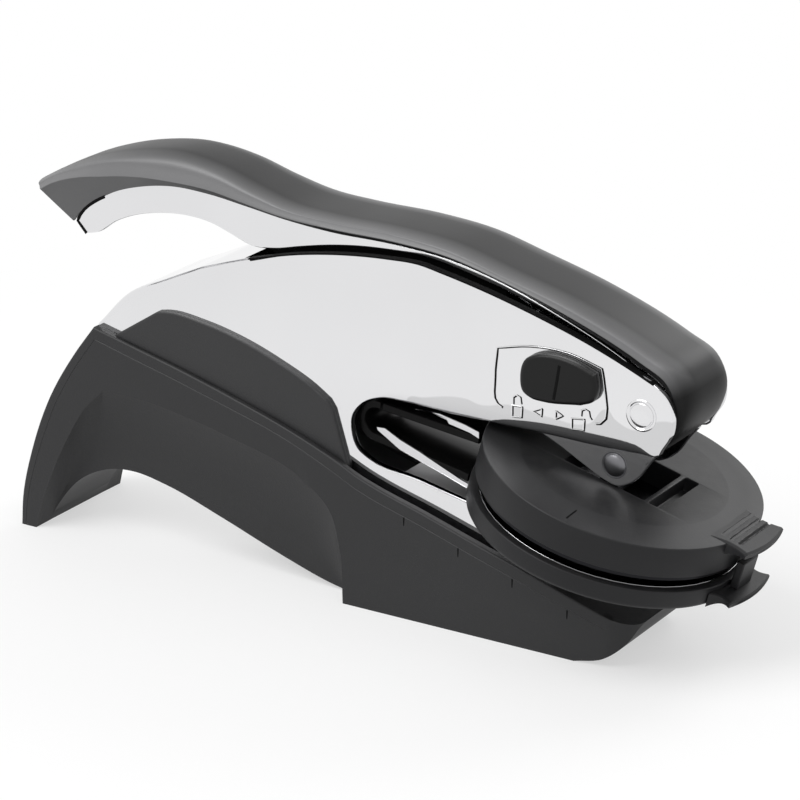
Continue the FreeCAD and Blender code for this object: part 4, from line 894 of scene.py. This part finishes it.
link_well, front_pocket = block(-9.0, 8.4, -7.5, 7.5, 0.5), block(9.4, 12.3, -7.5, 7.5, 0.4)
upper_parts = [housing("upper", UPPER_WALL, [(link_well, -4.9), (front_pocket, -2.2)]),
               grip_tab("upper_tab", 22.8, 30.5, 1.1, 7.9, 0.34, 5.4, 1.1,
                        [(24.3, -5.2, 7.6), (26.1, -5.6, 7.8), (27.9, -5.6, 7.4)])]
finish_piece("upper_housing", joined("upper_housing", upper_parts),
             body_of("upper_die_holder"), holder_plastic,
             ["upper_die_holder"], sharp=26)
lower_parts = [housing("lower", LOWER_WALL),
               grip_tab("lower_tab", 26.2, 30.6, 1.1, 8.4, -10.1, 3.0, 1.0)]
finish_piece("lower_housing", joined("lower_housing", lower_parts),
             body_of("lower_die_holder"), holder_plastic,
             ["lower_die_holder"], sharp=26)
softened("tab_post", "tab_post_moulded", 0.0003, holder_plastic)

# Index line on the bevelled ring of the upper housing, a black bead of painted shade for its
# groove, and the ring's painted sheen: its top is coloured lighter than the flat middle, as in the
# photograph, a painted highlight.
index_path = np.array([(-25.4, 0.17), (-23.6, 0.31), (-21.8, 0.45)])
angle = np.linspace(0, np.pi, 5)
points = np.stack([np.broadcast_to(2.0 + 0.16 * np.cos(angle), (3, 5)),
                   np.broadcast_to(index_path[:, :1], (3, 5)),
                   index_path[:, 1:] + 0.03 * np.sin(angle)], -1)
under = points[:, ::-1] - (0, 0, 0.06)
finish_piece("index_line", skin("index_line", leaning(np.concatenate([points, under], 1))),
             body_of("upper_die_holder"), mark_shadow)
tree = holder_plastic.node_tree
shader = tree.nodes["Principled BSDF"]
where = put(tree, "TexCoord")
moved = put(tree, "VectorMath", {0: where.outputs["Object"], 1: (
    DIE_AXIS * 0.001, 0, RIM_CENTRE[1] * 0.001)}, operation="SUBTRACT")
level = put(tree, "VectorRotate", {"Vector": moved.outputs[0], "Axis": (0, 1, 0),
                                   "Angle": -TILT}, rotation_type="AXIS_ANGLE")
place = put(tree, "SeparateXYZ", {"Vector": level.outputs[0]})
flat_place = put(tree, "CombineXYZ", {"X": place.outputs["X"], "Y": place.outputs["Y"]})
radius = put(tree, "VectorMath", {0: flat_place.outputs[0]}, operation="LENGTH")
outside = ramp(tree, radius.outputs["Value"], 0.0199, 0.0202)
on_top = ramp(tree, place.outputs["Z"], -0.0003, 0)
painted_sheen_zone = put(tree, "Math", {0: outside.outputs[0], 1: on_top.outputs[0]}, operation="MULTIPLY")
plain = shader.inputs["Base Color"].links[0].from_socket
zoned = put(tree, "Mix", {"Factor": painted_sheen_zone.outputs[0], "A": plain,
                          "B": (0.022, 0.022, 0.023, 1)}, data_type="RGBA")
tree.links.new(zoned.outputs["Result"], shader.inputs["Base Color"])

# Strap: the glossy black band that joins the holders behind the dies, with a polished
# leaf spring in its fold.
strap_black = moulded("strap_black", (0.003, 0.003, 0.003), 0.25, 2600, 0.000008, wear=0, dust=0,
                      gloss=0.1)
STRAP_THICK, STRAP_HALF = 1.8, 8.5
turn = np.radians(np.arange(90, 271, 10))
fold_line = np.column_stack([-48.06 + 3.4 * np.cos(turn), -10.02 + 3.4 * np.sin(turn)])


def band(name, line, half_width, thick):
    """A flat band of even thickness along a line of the stack (along, up), with its long
    edges chamfered."""
    line = np.array(line, float)
    way = np.gradient(line, axis=0)
    way /= np.linalg.norm(way, axis=1, keepdims=True)
    off = np.column_stack([-way[:, 1], way[:, 0]]) * thick / 2
    rows = []
    for wide, share in ((-1, -0.7), (-0.96, -1), (0.96, -1), (1, -0.7), (1, 0.7), (0.96, 1),
                        (-0.96, 1), (-1, 0.7)):
        place = line + off * share
        rows.append(np.column_stack([place[:, 0], np.full(len(place), wide * half_width),
                                     place[:, 1]]))
    return skin(name, leaning(np.stack(rows, 1)))


for name, line, node in (
        ("strap_upper", [(-26.4, -3.5), (-37.0, -5.05), (-47.5, -6.55)], "upper_die_holder"),
        ("strap_fold", np.vstack([fold_line, [(-37.0, -12.6), (-26.5, -11.9)]]),
         "lower_die_holder")):
    finish_piece(name, band(name, line, STRAP_HALF, STRAP_THICK), body_of(node),
                 strap_black, sharp=50)

# Leaf spring: two polished steel leaves on the strap's near side. A guess from two
# bright streaks in the photograph, which may as well be reflections or light from behind.
LOWER_LEAF = [(-48.8, 35.5), (-47.0, 35.6), (-43.6, 33.9), (-39.2, 32.3), (-34.7, 30.4),
              (-30.3, 28.6), (-28.1, 27.9), (-28.1, 26.9), (-30.3, 27.6), (-34.7, 29.1),
              (-39.2, 30.5), (-43.6, 31.9), (-48.6, 34.9)]
UPPER_LEAF = [(-40.1, 40.8), (-37.0, 40.7), (-33.2, 40.0), (-32.8, 39.3), (-28.2, 38.4),
              (-26.2, 37.6), (-26.2, 38.9), (-29.3, 39.8), (-34.8, 40.9)]
leaf_steel = polished("leaf_steel", (0.7, 0.7, 0.71), 0.2)
for name, leaf, node in (("lower_leaf", LOWER_LEAF, "lower_die_holder"),
                         ("upper_leaf", UPPER_LEAF, "upper_die_holder")):
    finish_piece(name, plate(name, [np.array(leaf)], -8.72, -8.4, [0.06], 0.05, soften=0.03, arc=3),
                 body_of(node), leaf_steel, sharp=40)

# Dies and their backing plates, a sandwich of blackened and chromed discs.
plate_chrome = polished("plate_chrome", (0.5, 0.5, 0.51), 0.12)
plate_black = polished("plate_black", (0.02, 0.02, 0.022), 0.3)
die_brass = polished("die_brass", (0.05, 0.045, 0.03), 0.28, ripple=0.00004)
die_polymer = moulded("die_polymer", (0.01, 0.01, 0.011), 0.3, 1800, 0.00003)
for node, material, slot in (("upper_die_plate", plate_black, "plate_chrome"),
                             ("lower_die_plate", plate_chrome, "plate_chrome"),
                             ("upper_die", die_polymer, "die_polymer"),
                             ("lower_die", die_brass, "die_brass")):
    softened(node, node + "_disc", 0.0001, material, segments=2)

# Lock slider: a moulded cap with a bevelled edge and a thumb groove, on a shank through
# the near cheek.
CAP = [(-12.4, 57.9), (-14.3, 56.8), (-15.4, 53.2), (-14.8, 50.4), (-12.8, 49.3), (-10.6, 49.1),
       (-2.6, 49.9), (0.0, 51.2), (0.7, 53.4), (0.3, 56.5), (-4.2, 58.1), (-9.8, 58.5)]
button_plastic = moulded("button_plastic", (0.007, 0.007, 0.007), 0.3, 2500, 0.000008, wear=0.5,
                         gloss=0.2)
cap_line = flowing(CAP, 6, (6, 9), closed=True)
slider = [plate("cap", [cap_line], -12.95, -11.1, [0.95], 0.75, soften=0.1, arc=5),
          plate("shank", [block(-10.06, -4.06, 52.15, 55.55)], -11.2, -9.7, [0.05], 0.05,
                soften=0.05, arc=3)]
finish_piece("lock_slider", joined("lock_slider", slider),
             body_of("lock_button"), button_plastic,
             ["lock_button"], sharp=24)
# The thumb groove is a black bead of painted shade.
groove = bead("groove", [(-6.9, 57.0), (-7.4, 53.6), (-8.0, 50.2)], -12.93, 0.75, 0.05)
finish_piece("slider_groove", groove, body_of("lock_button"),
             mark_shadow)

# Engraving on the near cheek: the slider's track and two plain padlock signs with an
# arrowhead each, a black line of painted shade in the cut with a bright burr beside it.
ENGRAVED = [
    [(-19.7, 45.8), (-20.8, 46.4), (-21.4, 51.3), (-20.9, 57.3), (-14.2, 58.8), (-5.8, 58.9),
     (1.0, 57.2), (1.5, 54.5), (0.9, 46.6), (-0.1, 46.4)],
    [(-17.4, 46.9), (-17.4, 48.2), (-16.7, 48.8), (-15.9, 48.5), (-15.7, 47.2)],
    [(-17.6, 46.6), (-15.5, 46.7), (-15.6, 44.6), (-17.6, 44.4), (-17.6, 46.6)],
    [(-11.3, 47.2), (-13.2, 46.3), (-11.4, 45.6), (-11.3, 47.2)],
    [(-8.4, 47.3), (-8.4, 45.7), (-6.9, 46.6), (-8.4, 47.3)],
    [(-5.0, 46.5), (-2.4, 46.8), (-2.5, 44.6), (-5.0, 44.4), (-5.0, 46.5)],
    [(-3.1, 47.3), (-3.0, 48.4), (-2.3, 48.8), (-1.5, 48.5), (-1.3, 47.5), (-0.9, 47.0)]]
dark, bright = [], []
for number, path in enumerate(ENGRAVED):
    path = flowing(path, 4, range(1, len(path) - 1) if number else (3, 6))
    width = 0.34 if number else 0.46
    dark.append(bead("cut", path, -FRAME_HALF, width, 0.02))
    bright.append(bead("burr", path + (-0.32, 0.02), -FRAME_HALF, 0.22, 0.05))
finish_piece("engraved_lines", joined("engraved_lines", dark), "stand",
             mark_shadow)
finish_piece("engraved_burr", joined("engraved_burr", bright), "stand",
             lever_chrome)

# ---------------------------------------------------------------------------
# Studio: a white table that fades into the white background, and soft lamps.


def paper_white(tree):
    """One where a ray comes from the camera, a mirror or glass, else zero."""
    path = put(tree, "LightPath")
    first = put(tree, "Math", {0: path.outputs["Is Camera Ray"],
                               1: path.outputs["Is Glossy Ray"]}, operation="MAXIMUM")
    return put(tree, "Math", {0: first.outputs[0], 1: path.outputs["Is Transmission Ray"]},
               operation="MAXIMUM").outputs[0]


table = bpy.data.meshes.new("table")
SIDE = 3.0
table.from_pydata([(-SIDE, -SIDE, 0), (SIDE, -SIDE, 0), (SIDE, SIDE, 0), (-SIDE, SIDE, 0)], [],
                  [(0, 1, 2, 3)])
white = bpy.data.materials.new("table_white")
white.use_nodes = True
tree = white.node_tree
shader, out = tree.nodes["Principled BSDF"], tree.nodes["Material Output"]
shader.inputs["Base Color"].default_value = (0.9, 0.9, 0.9, 1)
shader.inputs["Roughness"].default_value = 0.6
shader.inputs["Specular IOR Level"].default_value = 0.2
where = put(tree, "TexCoord")
length = put(tree, "VectorMath", {0: where.outputs["Object"]}, operation="LENGTH")
fade = put(tree, "MapRange", {"Value": length.outputs["Value"], "From Min": 0.09,
                              "From Max": 0.22, "To Min": 0.55}, interpolation_type="SMOOTHSTEP")
seen = put(tree, "Math", {0: fade.outputs[0], 1: paper_white(tree)}, operation="MULTIPLY")
glow = put(tree, "Emission", {"Color": (1, 1, 1, 1), "Strength": 1.0})
mixed = put(tree, "MixShader", {0: seen.outputs[0], 1: shader.outputs[0], 2: glow.outputs[0]})
tree.links.new(mixed.outputs[0], out.inputs["Surface"])
table.materials.append(white)
table_top = bpy.data.objects.new("table", table)
bpy.context.scene.collection.objects.link(table_top)

world = bpy.data.worlds.new("studio")
bpy.context.scene.world = world
world.use_nodes = True
tree = world.node_tree
tree.nodes["Background"].inputs["Color"].default_value = (1, 1, 1, 1)
level = put(tree, "MapRange", {"Value": paper_white(tree), "To Min": 0.6, "To Max": 1.0})
tree.links.new(level.outputs[0], tree.nodes["Background"].inputs["Strength"])


def soft_lamp(name, place, target, size, power):
    """A square area lamp that looks at a point."""
    lamp = bpy.data.lights.new(name, "AREA")
    lamp.size, lamp.energy = size, power
    holder = bpy.data.objects.new(name, lamp)
    bpy.context.scene.collection.objects.link(holder)
    holder.location = place
    holder.rotation_euler = (Vector(target) - Vector(place)).to_track_quat("-Z", "Y").to_euler()


soft_lamp("key", (-0.35, -0.55, 0.85), (0, 0, 0.03), 0.7, 7.0)
soft_lamp("rim", (0.2, 0.8, 0.6), (0, 0, 0.05), 0.5, 3.0)

camera = bpy.data.cameras.new("camera")
camera.lens, camera.sensor_width, camera.sensor_height = 154.3, 36.0, 36.0
camera.sensor_fit = "HORIZONTAL"
stand = bpy.data.objects.new("camera", camera)
bpy.context.scene.collection.objects.link(stand)
stand.location = (0.328758, -0.52814, 0.26469)
stand.rotation_euler = Vector((-0.4945, 0.7989, -0.3425)).to_track_quat("-Z", "Y").to_euler()
bpy.context.scene.camera = stand
bpy.context.scene.view_settings.view_transform = "Standard"
